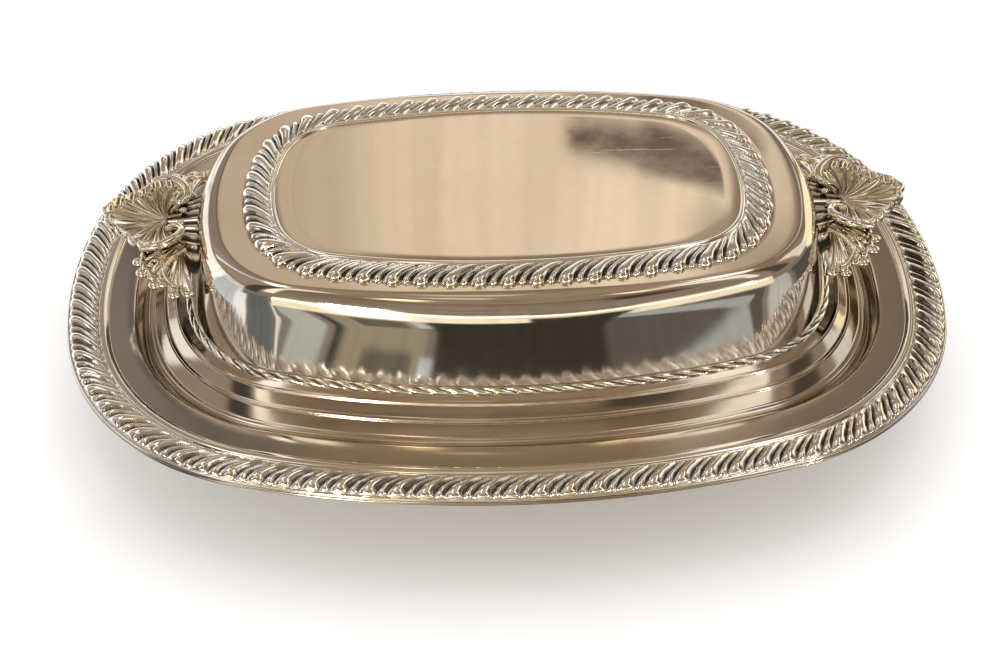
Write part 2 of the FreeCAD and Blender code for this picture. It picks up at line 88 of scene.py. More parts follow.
@dataclass(frozen=True)
class Outline:
    """An oblong of twelve tangent arcs, given by its half sizes and its three radii in mm."""

    half_length: float
    half_width: float
    side_radius: float
    end_radius: float
    corner_radius: float

    def inset(self, amount: float) -> "Outline":
        """Returns the outline moved inwards by an amount."""
        return Outline(self.half_length - amount, self.half_width - amount, self.side_radius - amount,
                       self.end_radius - amount, self.corner_radius - amount)

    def quarter(self) -> list[tuple[float, float, float, float, float]]:
        """Finds the three arcs of the +X +Y quarter.

        Returns:
            Centre x, centre y, radius, first turn and last turn of each arc, from the end to the side.
        """
        side_y = self.half_width - self.side_radius
        end_x = self.half_length - self.end_radius
        span = math.hypot(end_x, side_y)
        side_reach = self.side_radius - self.corner_radius
        end_reach = self.end_radius - self.corner_radius
        along = (side_reach ** 2 - end_reach ** 2 + span ** 2) / (2 * span)
        off = math.sqrt(side_reach ** 2 - along ** 2)
        step_x, step_y = end_x / span, -side_y / span
        centre_x = step_x * along - step_y * off
        centre_y = side_y + step_y * along + step_x * off
        if centre_x < 0 or centre_y < 0:
            centre_x = step_x * along + step_y * off
            centre_y = side_y + step_y * along - step_x * off
        end_turn = math.atan2(centre_y, centre_x - end_x)
        side_turn = math.atan2(centre_y - side_y, centre_x)
        return [
            (end_x, 0.0, self.end_radius, 0.0, end_turn),
            (centre_x, centre_y, self.corner_radius, end_turn, side_turn),
            (0.0, side_y, self.side_radius, side_turn, math.pi / 2),
        ]

    def place(self, stations: np.ndarray) -> tuple[np.ndarray, np.ndarray]:
        """Finds points and outward normals.

        Args:
            stations: Places on the outline, from 0 to 12, one whole number for each arc.

        Returns:
            Points and outward unit normals, each with two columns, in mm.
        """
        arcs = self.quarter()
        points = np.zeros((len(stations), 2))
        normals = np.zeros((len(stations), 2))
        for number, station in enumerate(stations % ARCS):
            quadrant, rest = divmod(station, 3.0)
            backwards = int(quadrant) % 2 == 1
            rest = 3.0 - rest if backwards else rest
            arc = arcs[min(int(rest), 2)]
            turn = arc[3] + (arc[4] - arc[3]) * (rest - min(int(rest), 2))
            sign_x = 1.0 if int(quadrant) in (0, 3) else -1.0
            sign_y = 1.0 if int(quadrant) in (0, 1) else -1.0
            normal = np.array([math.cos(turn) * sign_x, math.sin(turn) * sign_y])
            centre = np.array([arc[0] * sign_x, arc[1] * sign_y])
            points[number] = centre + normal * arc[2]
            normals[number] = normal
        return points, normals

    def even_stations(self, count: int) -> np.ndarray:
        """Returns stations that are spread evenly by length, from 0 up to just under 12."""
        lengths = [arc[2] * (arc[4] - arc[3]) for arc in self.quarter()]
        turn = lengths + lengths[::-1] + lengths + lengths[::-1]
        ends = np.concatenate([[0.0], np.cumsum(turn)])
        wanted = np.arange(count) / count * ends[-1]
        return np.interp(wanted, ends, np.arange(ARCS + 1))


def outline_from(node: str, side: float, end: float, corner: float) -> Outline:
    """Reads an outline's half sizes off a node of the frame.

    Args:
        node: The node whose box gives the half length and half width.
        side: Radius of the long sides, in mm.
        end: Radius of the ends, in mm.
        corner: Radius of the corners, in mm.

    Returns:
        The outline in mm.
    """
    _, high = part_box(node)
    return Outline(high[0] / MM, high[1] / MM, side, end, corner)


RIM = outline_from("dish_shell", side=367.0, end=165.0, corner=92.0)
TOP = outline_from("cover_gadroon_border", side=313.0, end=91.0, corner=36.0)


# The share of a stretch that the rounding at one of its ends may take
MOST_ROUNDED = 0.49


def rounded(points: list[tuple[float, float]], radii: list[float], steps: int = 6) -> np.ndarray:
    """Rounds the corners of a line.

    Args:
        points: Corners of the line.
        radii: How far from each corner its rounding starts; 0 leaves it sharp.
        steps: Points in each rounding.

    Returns:
        The rounded line's points, with two columns.
    """
    line = [np.array(points[0], float)]
    for number in range(1, len(points) - 1):
        corner = np.array(points[number], float)
        before = np.array(points[number - 1], float) - corner
        after = np.array(points[number + 1], float) - corner
        reach = radii[number]
        if reach <= 0:
            line.append(corner)
            continue
        first, last = (corner + arm / np.linalg.norm(arm) * min(reach, np.linalg.norm(arm) * MOST_ROUNDED)
                       for arm in (before, after))
        line += [first] + bent(first, corner, last, steps - 1)
    line.append(np.array(points[-1], float))
    return np.array(line)


def bent(start: np.ndarray, corner: np.ndarray, end: np.ndarray, steps: int) -> list[np.ndarray]:
    """Returns the points after the start of a bend that is drawn towards a corner."""
    return [start * (1 - share) ** 2 + corner * 2 * share * (1 - share) + end * share ** 2
            for share in np.linspace(0, 1, steps + 1)[1:]]


def subdivided(line: np.ndarray, longest: float) -> np.ndarray:
    """Returns a line with points added on each stretch that is longer than the longest allowed."""
    fine = [line[0]]
    for start, end in zip(line, line[1:]):
        pieces = max(1, int(math.ceil(np.linalg.norm(end - start) / longest)))
        fine += [start + (end - start) * share for share in np.arange(1, pieces + 1) / pieces]
    return np.array(fine)


def grid_faces(rows: int, columns: int, closed: bool, goes_round: bool = True) -> Faces:
    """Lists the quads of a grid.

    Args:
        rows: Points across the strip.
        columns: Stations along the strip.
        closed: Whether the last row meets the first.
        goes_round: Whether the last column meets the first.

    Returns:
        Four vertex numbers for each face; vertex numbers run row by row.
    """
    faces = []
    for row in range(rows if closed else rows - 1):
        upper = (row + 1) % rows
        for column in range(columns if goes_round else columns - 1):
            right = (column + 1) % columns
            faces.append((row * columns + column, row * columns + right,
                          upper * columns + right, upper * columns + column))
    return faces


def side_faces(rows: int, columns: int, first_outwards: bool) -> Faces:
    """Lists the quads that close both sides of a grid whose rows go over the top and back below."""
    faces = []
    for column, outwards in ((0, first_outwards), (columns - 1, not first_outwards)):
        for row in range(rows // 2 - 1):
            mirror = rows - 1 - row
            face = tuple(corner * columns + column for corner in (row, row + 1, mirror - 1, mirror))
            faces.append(face if outwards else face[::-1])
    return faces


def closed_faces(rings: int, around: int) -> Faces:
    """Lists the faces of a pile of rings whose ends close on two points numbered after the rings."""
    faces = grid_faces(rings, around, False)
    low, last = rings * around, (rings - 1) * around
    for column in range(around):
        right = (column + 1) % around
        faces += [(right, column, low), (last + column, last + right, low + 1)]
    return faces


def linked(thing: bpy.types.Object) -> bpy.types.Object:
    """Returns an object once it is in the scene."""
    bpy.context.scene.collection.objects.link(thing)
    return thing


@dataclass
class Surface:
    """A mesh in the making, in mm, with the attributes its points carry."""

    points: np.ndarray
    faces: Faces
    values: dict[str, np.ndarray] = field(default_factory=dict)

    def joined(self, other: "Surface") -> "Surface":
        """Returns this surface and another as one."""
        shift = len(self.points)
        faces = self.faces + [tuple(v + shift for v in face) for face in other.faces]
        values = {}
        for name in set(self.values) | set(other.values):
            mine = self.values.get(name)
            theirs = other.values.get(name)
            width = (mine if mine is not None else theirs).shape[1:]
            mine = mine if mine is not None else np.zeros((len(self.points),) + width)
            theirs = theirs if theirs is not None else np.zeros((len(other.points),) + width)
            values[name] = np.concatenate([mine, theirs])
        return Surface(np.concatenate([self.points, other.points]), faces, values)

    def flipped(self, signs: Triple) -> "Surface":
        """Returns the surface with its axes' signs changed, its faces still outwards."""
        values = {name: (value * np.array(signs) if value.ndim == 2 else value)
                  for name, value in self.values.items()}
        faces = self.faces if math.prod(signs) > 0 else [face[::-1] for face in self.faces]
        return Surface(self.points * np.array(signs), faces, values)

    def build(self, name: str) -> bpy.types.Object:
        """Makes the Blender object, at the origin and in metres."""
        mesh = bpy.data.meshes.new(name)
        mesh.from_pydata((self.points * MM).tolist(), [], self.faces)
        for key, value in self.values.items():
            kind = "FLOAT_VECTOR" if value.ndim == 2 else "FLOAT"
            attribute = mesh.attributes.new(key, kind, "POINT")
            slot = "vector" if value.ndim == 2 else "value"
            attribute.data.foreach_set(slot, value.astype(np.float32).ravel())
        mesh.validate()
        mesh.shade_smooth()
        return linked(bpy.data.objects.new(name, mesh))


def raised(flat: np.ndarray, height: float) -> np.ndarray:
    """Returns flat points at a height, which is one number or one for each point."""
    return np.column_stack([flat, np.full(len(flat), height)])


def swept(outline: Outline, profile: np.ndarray, count: int, closed: bool,
          tones: dict[str, np.ndarray] | None = None) -> Surface:
    """Sweeps a profile round an outline.

    Args:
        outline: The outline that insets are measured from.
        profile: Inset and height of each point, in mm.
        count: Stations round the outline.
        closed: Whether the profile's last point meets its first.
        tones: Values for each point of the profile, by attribute name.

    Returns:
        The swept surface.
    """
    stations = outline.even_stations(count)
    points, normals = outline.place(stations)
    rows = [raised(points - normals * inset, height) for inset, height in profile]
    values = {name: np.repeat(tone, count) for name, tone in (tones or {}).items()}
    return Surface(np.concatenate(rows), grid_faces(len(profile), count, closed), values)


def capped(surface: Surface, row: int, count: int, rings: int, upwards: bool) -> Surface:
    """Fills a flat row of points with smaller rings down to its middle.

    Args:
        surface: The surface, whose points run row by row.
        row: The number of the row that is filled.
        count: How many points a row has.
        rings: How many rings fill it.
        upwards: Whether the filling faces up.

    Returns:
        The surface with its filling.
    """
    first, start = row * count, len(surface.points)
    edge = surface.points[first:first + count]
    middle = edge.mean(axis=0)
    inner = [middle + (edge - middle) * (1 - number / rings) for number in range(1, rings)]
    centre = start + count * (rings - 1)
    numbers = list(range(first, first + count)) + list(range(start, centre))
    faces = [tuple(numbers[corner] for corner in face) for face in grid_faces(rings, count, False)]
    faces += [(numbers[i - count], numbers[(i + 1) % count - count], centre) for i in range(count)]
    if not upwards:
        faces = [face[::-1] for face in faces]
    values = {}
    for name, value in surface.values.items():
        added = np.full((centre + 1 - start,) + value.shape[1:], value[first])
        values[name] = np.concatenate([value, added])
    points = np.concatenate([surface.points, *inner, middle[None, :]])
    return Surface(points, surface.faces + faces, values)


class Graph:
    """Adds nodes to a tree and links them."""

    def __init__(self, tree: bpy.types.NodeTree) -> None:
        """Keeps the tree."""
        self.tree = tree

    def add(self, kind: str, inputs: dict[int | str, object] | None = None,
            **settings: object) -> bpy.types.Node:
        """Adds one node.

        Args:
            kind: Blender's name for the node's type.
            inputs: Sockets to link, or values to set on them, by name or number.
            settings: Properties of the node.

        Returns:
            The node.
        """
        node = self.tree.nodes.new(kind)
        for name, value in settings.items():
            setattr(node, name, value)
        for key, value in (inputs or {}).items():
            if isinstance(value, Socket):
                self.tree.links.new(value, node.inputs[key])
            else:
                node.inputs[key].default_value = value
        return node

    def first(self, kind: str, inputs: dict[int | str, object], **settings: object) -> Socket:
        """Adds one node and returns its first output."""
        return self.add(kind, inputs, **settings).outputs[0]

    def math(self, operation: str, first: object, second: object = 0.0) -> Socket:
        """Returns the result of one sum."""
        return self.first("ShaderNodeMath", {0: first, 1: second}, operation=operation)

    def product(self, first: object, second: object) -> Socket:
        """Returns two values multiplied."""
        return self.math("MULTIPLY", first, second)

    def total(self, first: object, second: object) -> Socket:
        """Returns two values added."""
        return self.math("ADD", first, second)

    def ranged(self, value: object, low: float, high: float, first: float = 0.0, last: float = 1.0,
               smooth: bool = False) -> Socket:
        """Returns a value sent from the range low to high into the range first to last."""
        kind = "SMOOTHSTEP" if smooth else "LINEAR"
        return self.add("ShaderNodeMapRange", {0: value, 1: low, 2: high, 3: first, 4: last},
                        interpolation_type=kind).outputs[0]

    def noise(self, place: object, scale: float, detail: float, roughness: float = 0.5,
              distortion: float = 0.0) -> Socket:
        """Returns a cloudy noise."""
        return self.first("ShaderNodeTexNoise", {"Vector": place, "Scale": scale, "Detail": detail,
                                                 "Roughness": roughness, "Distortion": distortion})

    def mixed(self, share: object, first: object, second: object) -> Socket:
        """Returns a blend of two colours."""
        return self.add("ShaderNodeMix", {0: share, 6: first, 7: second}, data_type="RGBA").outputs[2]

    def inside(self, mask: object, value: object) -> Socket:
        """Returns a value where a mask shows, and 1 elsewhere."""
        return self.first("ShaderNodeMix", {0: mask, 2: 1.0, 3: value})

    def painted(self, name: str) -> Socket:
        """Returns, in a material, an attribute of the piece that wears it."""
        return self.add("ShaderNodeAttribute", attribute_name=name).outputs["Fac"]

    def scaled(self, vector: object, scale: object) -> Socket:
        """Returns a vector times a number."""
        node = self.add("ShaderNodeVectorMath", {0: vector, "Scale": scale}, operation="SCALE")
        return node.outputs[0]

    def curve(self, value: object, points: list[tuple[float, float]]) -> Socket:
        """Returns a value sent through a smooth curve with the given points."""
        node = self.add("ShaderNodeFloatCurve", {"Value": value})
        line = node.mapping.curves[0]
        line.points[0].location = points[0]
        line.points[1].location = points[-1]
        for point in points[1:-1]:
            line.points.new(*point)
        node.mapping.update()
        return node.outputs[0]

    def attribute(self, name: str, vector: bool = False) -> Socket:
        """Returns, in a Geometry Nodes tree, a named attribute of the geometry."""
        kind = "FLOAT_VECTOR" if vector else "FLOAT"
        node = self.add("GeometryNodeInputNamedAttribute", {"Name": name}, data_type=kind)
        return [socket for socket in node.outputs if socket.enabled][0]


def blank_material(name: str) -> tuple[bpy.types.Material, Graph]:
    """Returns a new material and a graph on its empty tree."""
    material = bpy.data.materials.new(name)
    material.use_nodes = True
    material.node_tree.nodes.clear()
    return material, Graph(material.node_tree)


@dataclass(frozen=True)
class Relief:
    """Lobes that repeat along a strip: how one lobe rises, and how it fades and leans across."""

    name: str
    section: Pairs
    envelope: Pairs
    lean: Pairs
    tips: Pairs = ((0.0, 0.0), (1.0, 0.0))

    def tree(self) -> bpy.types.NodeTree:
        """Builds the Geometry Nodes tree that raises the lobes.

        Returns:
            A tree with the inputs Lobes, Start, Twist, Height, Tip Reach and Finish.
        """
        tree = bpy.data.node_groups.new(self.name, "GeometryNodeTree")
        tree.is_modifier = True
        face = tree.interface
        face.new_socket("Geometry", in_out="INPUT", socket_type="NodeSocketGeometry")
        for name in ("Lobes", "Start", "Twist", "Height", "Tip Reach"):
            face.new_socket(name, in_out="INPUT", socket_type="NodeSocketFloat")
        face.new_socket("Finish", in_out="INPUT", socket_type="NodeSocketMaterial")
        face.new_socket("Geometry", in_out="OUTPUT", socket_type="NodeSocketGeometry")
        graph = Graph(tree)
        entry = graph.add("NodeGroupInput").outputs
        across = graph.attribute(ACROSS)
        lean = graph.product(graph.curve(across, list(self.lean)), entry["Twist"])
        count = graph.product(graph.attribute(ALONG), entry["Lobes"])
        phase = graph.math("FRACT", graph.total(graph.total(count, lean), entry["Start"]))
        lobe = graph.curve(phase, list(self.section))
        envelope = graph.curve(across, list(self.envelope))
        relief = graph.product(lobe, envelope)
        reach = graph.product(lobe, graph.curve(across, list(self.tips)))
        rise = graph.scaled(graph.attribute(LIFT, True), graph.product(relief, entry["Height"]))
        push = graph.scaled(graph.attribute(OUTWARD, True), graph.product(reach, entry["Tip Reach"]))
        move = graph.first("ShaderNodeVectorMath", {0: rise, 1: push}, operation="ADD")
        kept = graph.add("GeometryNodeStoreNamedAttribute",
                         {"Geometry": entry["Geometry"], "Name": PATINA_AND_SHADE}, data_type="FLOAT", domain="POINT")
        value = [s for s in kept.inputs if s.name == "Value" and s.enabled][0]
        tree.links.new(graph.math("SUBTRACT", envelope, relief), value)
        moved = graph.add("GeometryNodeSetPosition", {"Geometry": kept.outputs[0], "Offset": move})
        real = graph.add("GeometryNodeRealizeInstances", {"Geometry": moved.outputs[0]})
        dressed = graph.add("GeometryNodeSetMaterial", {"Geometry": real.outputs[0],
                                                        "Material": entry["Finish"]})
        graph.add("NodeGroupOutput", {"Geometry": dressed.outputs[0]})
        return tree

    def raise_on(self, piece: bpy.types.Object, finish: bpy.types.Material, lobes: float,
                 twist: float, height: float, tip_reach: float = 0.0, start: float = 0.0) -> None:
        """Raises the lobes on a strip and leaves it a plain mesh.

        Args:
            piece: The strip, with its attributes.
            finish: The material that it gets.
            lobes: How many lobes go round.
            twist: How many lobes the strip leans by from one edge to the other.
            height: How far the lobes rise, in mm.
            tip_reach: How far the lobes' tips stand out, in mm.
            start: How far through a lobe the strip begins at +X, as a share of the lobe.
        """
        modifier = piece.modifiers.new(self.name, "NODES")
        modifier.node_group = self.tree()
        wanted = {"Lobes": lobes, "Start": start, "Twist": twist, "Height": height * MM,
                  "Tip Reach": tip_reach * MM, "Finish": finish}
        for item in modifier.node_group.interface.items_tree:
            if item.in_out == "INPUT" and item.name in wanted:
                modifier[item.identifier] = wanted[item.name]
        graph = bpy.context.evaluated_depsgraph_get()
        mesh = bpy.data.meshes.new_from_object(piece.evaluated_get(graph), preserve_all_data_layers=True,
                                               depsgraph=graph)
        piece.modifiers.clear()
        plain = piece.data
        piece.data = mesh
        bpy.data.meshes.remove(plain)
        mesh.name = piece.name
        mesh.shade_smooth()


@dataclass(frozen=True)
class SilverFinish:
    """Silver plate: polished metal, a warm tone of tarnishing and painted warm reflection, dark patina in the
    hollows, painted shade, scratches and rubbing.

    Scales count a noise's features in a metre; wave_height is in metres.
    """

    name: str
    bright: Triple
    # Warm colour of tarnish, which also stands for a painted warm reflection
    tarnish_and_warm_reflection: Triple
    patina: Triple
    roughness: float
    grooved: bool = False
    darkening_start: float = 0.35
    darkening_end: float = 0.90
    darkening_share: float = 0.94
    cloud_scale: float = 22.0
    mottling: float = 0.5
    smudge_scale: float = 60.0
    least_rough: float = 0.6
    most_rough: float = 1.6
    scratch_roughness: float = 0.10
    patina_roughness: float = 0.22
    wave_scale: float = 9.0
    wave_height: float = 0.0016
    scratch_depth: float = 0.008
    hairline_scale: float = 8.0
    hairlines: Pairs = ((0.35, 26.0), (-0.6, 34.0))

    def material(self) -> bpy.types.Material:
        """Builds the procedural material from object coordinates and the piece's own attributes."""
        material, graph = blank_material(self.name)
        place = graph.add("ShaderNodeTexCoord").outputs["Object"]
        clouds = graph.noise(place, self.cloud_scale, 5.0, 0.6, 0.4)
        mottle = graph.product(graph.math("SUBTRACT", clouds, 0.5), self.mottling)
        # Warm tone of tarnish and painted warm reflection, mottled by noise
        tarnish_and_warm_reflection_share = graph.first("ShaderNodeClamp", {0: graph.total(graph.painted(WARMTH), mottle)})
        colour = graph.mixed(tarnish_and_warm_reflection_share, (*self.bright, 1.0), (*self.tarnish_and_warm_reflection, 1.0))
        # Painted shade from the shells; on grooved pieces also the patina in the hollows and the painted
        # shade underneath
        dark = graph.painted(PAINTED_SHADE)
        if self.grooved:
            # Patina in the hollows, and on the castings also painted shade underneath
            hollow = graph.ranged(graph.painted(PATINA_AND_SHADE), self.darkening_start, self.darkening_end,
                                  0.0, self.darkening_share, smooth=True)
            dark = graph.math("MAXIMUM", dark, hollow)
        colour = graph.mixed(dark, colour, (*self.patina, 1.0))
        scratches = self.scratches(graph, place)
        smudges = graph.noise(place, self.smudge_scale, 4.0, 0.7)
        rough = graph.ranged(smudges, 0.3, 0.75, self.roughness * self.least_rough,
                             self.roughness * self.most_rough)
        rough = graph.total(rough, graph.product(scratches, self.scratch_roughness))
        rough = graph.total(rough, graph.product(dark, self.patina_roughness))
        waves = graph.noise(place, self.wave_scale, 1.5)
        height = graph.total(waves, graph.product(scratches, -self.scratch_depth))
        bump = graph.first("ShaderNodeBump", {"Height": height, "Strength": 0.35,
                                              "Distance": self.wave_height})
        shader = graph.add("ShaderNodeBsdfPrincipled", {"Base Color": colour, "Roughness": rough,
                                                        "Normal": bump, "Metallic": 1.0})
        graph.add("ShaderNodeOutputMaterial", {"Surface": shader.outputs[0]})
        return material

    def scratches(self, graph: Graph, place: Socket) -> Socket:
        """Returns a mask that is near 1 on fine hairlines, in one direction for each turn and stretch."""
        masks = []
        for turn, stretch in self.hairlines:
            fine = self.hairline_scale * stretch
            mapped = graph.first("ShaderNodeMapping", {"Vector": place, "Rotation": (0.0, 0.0, turn),
                                                       "Scale": (self.hairline_scale, fine, fine)})
            masks.append(graph.ranged(graph.noise(mapped, 1.6, 6.0, 0.75), 0.66, 0.80))
        return graph.math("MAXIMUM", masks[0], masks[1])


POLISHED = SilverFinish("polished_silver_plate", (0.93, 0.90, 0.84), (0.72, 0.58, 0.42),
                        (0.14, 0.11, 0.08), roughness=0.06)
BORDER = SilverFinish("border_silver_with_dark_grooves", (0.98, 0.96, 0.90), (0.80, 0.66, 0.44),
                      (0.035, 0.028, 0.022), roughness=0.07, grooved=True,
                      darkening_start=0.30, darkening_end=0.82)
# Castings: patina in the hollows and painted shade on their undersides and berries
CASTING = SilverFinish("cast_silver_with_patina_and_painted_shade", (0.98, 0.94, 0.85), (0.76, 0.60, 0.36),
                       (0.040, 0.031, 0.023), roughness=0.09, grooved=True,
                       darkening_start=0.20, darkening_end=0.72)


def dress(piece: bpy.types.Object, material: bpy.types.Material) -> None:
    """Gives a piece one material."""
    piece.data.materials.clear()
    piece.data.materials.append(material)


def settle(piece: bpy.types.Object, body: str, nodes: list[str]) -> None:
    """Parents a finished piece to its body and hides the CAD nodes that it stands for.

    Args:
        piece: The piece.
        body: The body that it rides on.
        nodes: The CAD nodes that it stands for.
    """
    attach(piece, body)
    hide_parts(*nodes)
    LOG.info("%s: %d faces on %s", piece.name, len(piece.data.polygons), body)


def tones_along(insets: np.ndarray, marks: list[tuple[float, float]]) -> np.ndarray:
    """Reads a tone at each inset off a few marks."""
    places, tones = zip(*marks)
    return np.interp(insets, places, tones)


@dataclass
class DishShell:
    """The stamped dish: flange, recess for the cover, ledge and well. Sizes in mm."""

    flange_under: float = 40.0
    sheet: float = 1.2
    flange_width: float = 25.0
    recess_width: float = 3.6
    recess_depth: float = 4.5
    ledge_width: float = 9.4
    well_taper: float = 9.0
    base_width: float = 6.0
    base_rise: float = 6.0
    cap_inset: float = 4.0
    cap_rings: int = 8
    longest_stretch: float = 3.0
    stations: int = 480
    under_warmth: float = 0.35
    # Painted shade under the dish
    under_painted_shade: float = 0.2

    def profile(self) -> np.ndarray:
        """Returns inset and height of the section, from the well's floor over the rim to the under side."""
        sheet = self.sheet
        top = self.flange_under + sheet
        ledge = top - self.recess_depth
        recess = self.flange_width + self.recess_width
        lip = recess + self.ledge_width
        base = lip + self.well_taper
        floor = base + self.base_width
        middle = floor + self.cap_inset
        over = [(middle, sheet), (floor, sheet), (base, sheet + self.base_rise), (lip, ledge),
                (recess, ledge), (self.flange_width, top), (0.7, top), (0.0, top - 0.5)]
        under = [(0.0, top - sheet + 0.2), (0.5, top - sheet), (self.flange_width - 0.5, top - sheet),
                 (recess - 0.5, ledge - sheet), (lip - 0.9, ledge - sheet),
                 (base - 1.2, sheet + self.base_rise), (floor - 0.6, 0.0), (middle, 0.0)]
        radii = [0.0, 5.0, 7.0, 2.0, 0.6, 0.9, 0.4, 0.3, 0.3, 0.3, 0.9, 0.6, 1.4, 7.0, 5.0, 0.0]
        return subdivided(rounded(over + under, radii, 7), self.longest_stretch)

    def build(self) -> bpy.types.Object:
        """Builds the shell with the floor of its well closed."""
        profile = self.profile()
        rows = len(profile)
        upper = np.arange(rows) < rows / 2
        # Warm tone, partly a painted warm reflection of the room
        warm_marks = [(0, 0.3), (15, 0.5), (26, 0.5), (30, 0.4), (60, 0.2)]
        # Painted shade, deepest at the outer edge, where the rim border ends and where the cover sits
        painted_shade_marks = [(0, 0.3), (2, 0.1), (15, 0.25), (25, 0.15), (29, 0.2), (60, 0.1)]
        warmth = np.where(upper, tones_along(profile[:, 0], warm_marks), self.under_warmth)
        shade = np.where(upper, tones_along(profile[:, 0], painted_shade_marks), self.under_painted_shade)
        surface = swept(RIM, profile[::-1], self.stations, False, {WARMTH: warmth[::-1], PAINTED_SHADE: shade[::-1]})
        surface = capped(surface, rows - 1, self.stations, self.cap_rings, True)
        surface = capped(surface, 0, self.stations, self.cap_rings, False)
        return surface.build("dish_with_flange_and_well")


@dataclass
class CoverShell:
    """The stamped cover: stepped flare, wall, rounded shoulder and flat top panel. Sizes in mm."""

    seat: float = 36.7
    sheet: float = 1.1
    edge_inset: float = 29.3
    step_one: tuple[float, float] = (35.6, 42.1)
    step_two: tuple[float, float] = (40.3, 46.1)
    wall_foot: tuple[float, float] = (45.3, 46.7)
    wall_start: tuple[float, float] = (45.5, 48.4)
    wall_draw: tuple[float, float] = (48.9, 58.6)
    wall_end: tuple[float, float] = (50.9, 68.8)
    shoulder: tuple[float, float] = (53.0, 80.3)
    ring_height: float = 80.1
    panel_height: float = 81.4
    panel_inset: float = 11.1
    longest_stretch: float = 3.0
    wall_rows: int = 16
    shoulder_share: float = 0.7
    shoulder_reach: float = 7.0
    shoulder_rows: int = 20
    border_rows: int = 5
    slope_rows: int = 4
    top_rings: int = 12
    inside_rings: int = 8
    edge_rows: int = 3
    skin_gap: float = 0.825
    stations: int = 400
    tone_heights: tuple[float, ...] = (36.0, 42.0, 47.0, 50.0, 70.0, 76.0, 79.0, 81.4)
    # Warm tone by height, partly a painted warm reflection of the room
    warm_tones: tuple[float, ...] = (0.6, 0.6, 0.55, 0.15, 0.1, 0.3, 0.5, 0.55)
    # Painted shade, deepest at the seat, on the flare steps, at the rope and under the top border, and inside
    # the cover
    painted_shade_tones: tuple[float, ...] = (0.25, 0.2, 0.2, 0.05, 0.0, 0.05, 0.12, 0.0)
    inside_warmth: float = 0.5
    inside_painted_shade: float = 0.3

    def flare(self) -> np.ndarray:
        """Returns inset and height of the outer section, from the seat up to the wall's start."""
        edge = self.edge_inset
        one, two, foot = self.step_one, self.step_two, self.wall_foot
        corners = [
            (edge + 0.9, self.seat), (edge, self.seat), (edge, self.seat + self.sheet),
            (edge + 1.0, 38.2), (edge + 2.0, 38.1),
            (one[0] - 0.5, one[1] - 0.7), (one[0] - 0.15, one[1] + 0.25), (one[0] + 1.0, one[1] + 0.1),
            (two[0] - 0.5, two[1] - 0.8), (two[0] - 0.15, two[1] + 0.15), (two[0] + 1.1, two[1]),
            (foot[0], foot[1]), self.wall_start,
        ]
        radii = [0.0, 0.3, 0.5, 0.4, 0.8, 0.15, 0.3, 0.4, 0.15, 0.3, 0.4, 0.8, 0.0]
        return rounded(corners, radii, 6)

    def build(self) -> bpy.types.Object:
        """Builds both skins of the cover, joined at the edge."""
        stations = RIM.even_stations(self.stations)
        rim, normals = RIM.place(stations)
        ring, _ = TOP.place(stations)
        panel, _ = TOP.inset(self.panel_inset).place(stations)
        count = len(rim)

        def level(place: tuple[float, float]) -> np.ndarray:
            """Returns one row of points at an inset and a height."""
            return raised(rim - normals * place[0], place[1])

        def between(first: np.ndarray, last: np.ndarray, steps: int) -> list[np.ndarray]:
            """Returns evenly spaced rows after the first, the last included."""
            return [first * (1 - share) + last * share for share in np.linspace(0, 1, steps + 1)[1:]]

        rows = [level(place) for place in subdivided(self.flare(), self.longest_stretch)]
        start, draw, end = (level(place) for place in (self.wall_start, self.wall_draw, self.wall_end))
        rows += bent(start, draw, end, self.wall_rows)
        corner = level(self.shoulder)
        border = raised(ring, self.ring_height)
        inwards = border - corner
        reach = np.linalg.norm(inwards, axis=1)
        along = np.minimum(reach * self.shoulder_share, self.shoulder_reach) / reach
        shoulder_end = corner + inwards * along[:, None]
        rows += bent(end, corner, shoulder_end, self.shoulder_rows)
        rows += between(shoulder_end, border, self.border_rows)
        rows += between(border, raised(panel, self.panel_height), self.slope_rows)
        outer = Surface(np.concatenate(rows), grid_faces(len(rows), count, False))
        heights = outer.points[:, 2]
        outer.values[WARMTH] = np.interp(heights, self.tone_heights, self.warm_tones)
        outer.values[PAINTED_SHADE] = np.interp(heights, self.tone_heights, self.painted_shade_tones)
        outer = capped(outer, len(rows) - 1, count, self.top_rings, True)
        gap = raised(normals * self.skin_gap, self.skin_gap)
        inner = [row - gap for row in rows[self.edge_rows:]]
        inner[0][:, 2] = self.seat
        faces = [face[::-1] for face in grid_faces(len(inner), count, False)]
        inside = Surface(np.concatenate(inner), faces)
        inside.values[WARMTH] = np.full(len(inside.points), self.inside_warmth)
        inside.values[PAINTED_SHADE] = np.full(len(inside.points), self.inside_painted_shade)
        inside = capped(inside, len(inner) - 1, count, self.inside_rings, False)
        shift = len(outer.points)
        whole = outer.joined(inside)
        for i in range(count):
            j = (i + 1) % count
            whole.faces.append((i, shift + i, shift + j, j))
        return whole.build("cover_with_stepped_flare")


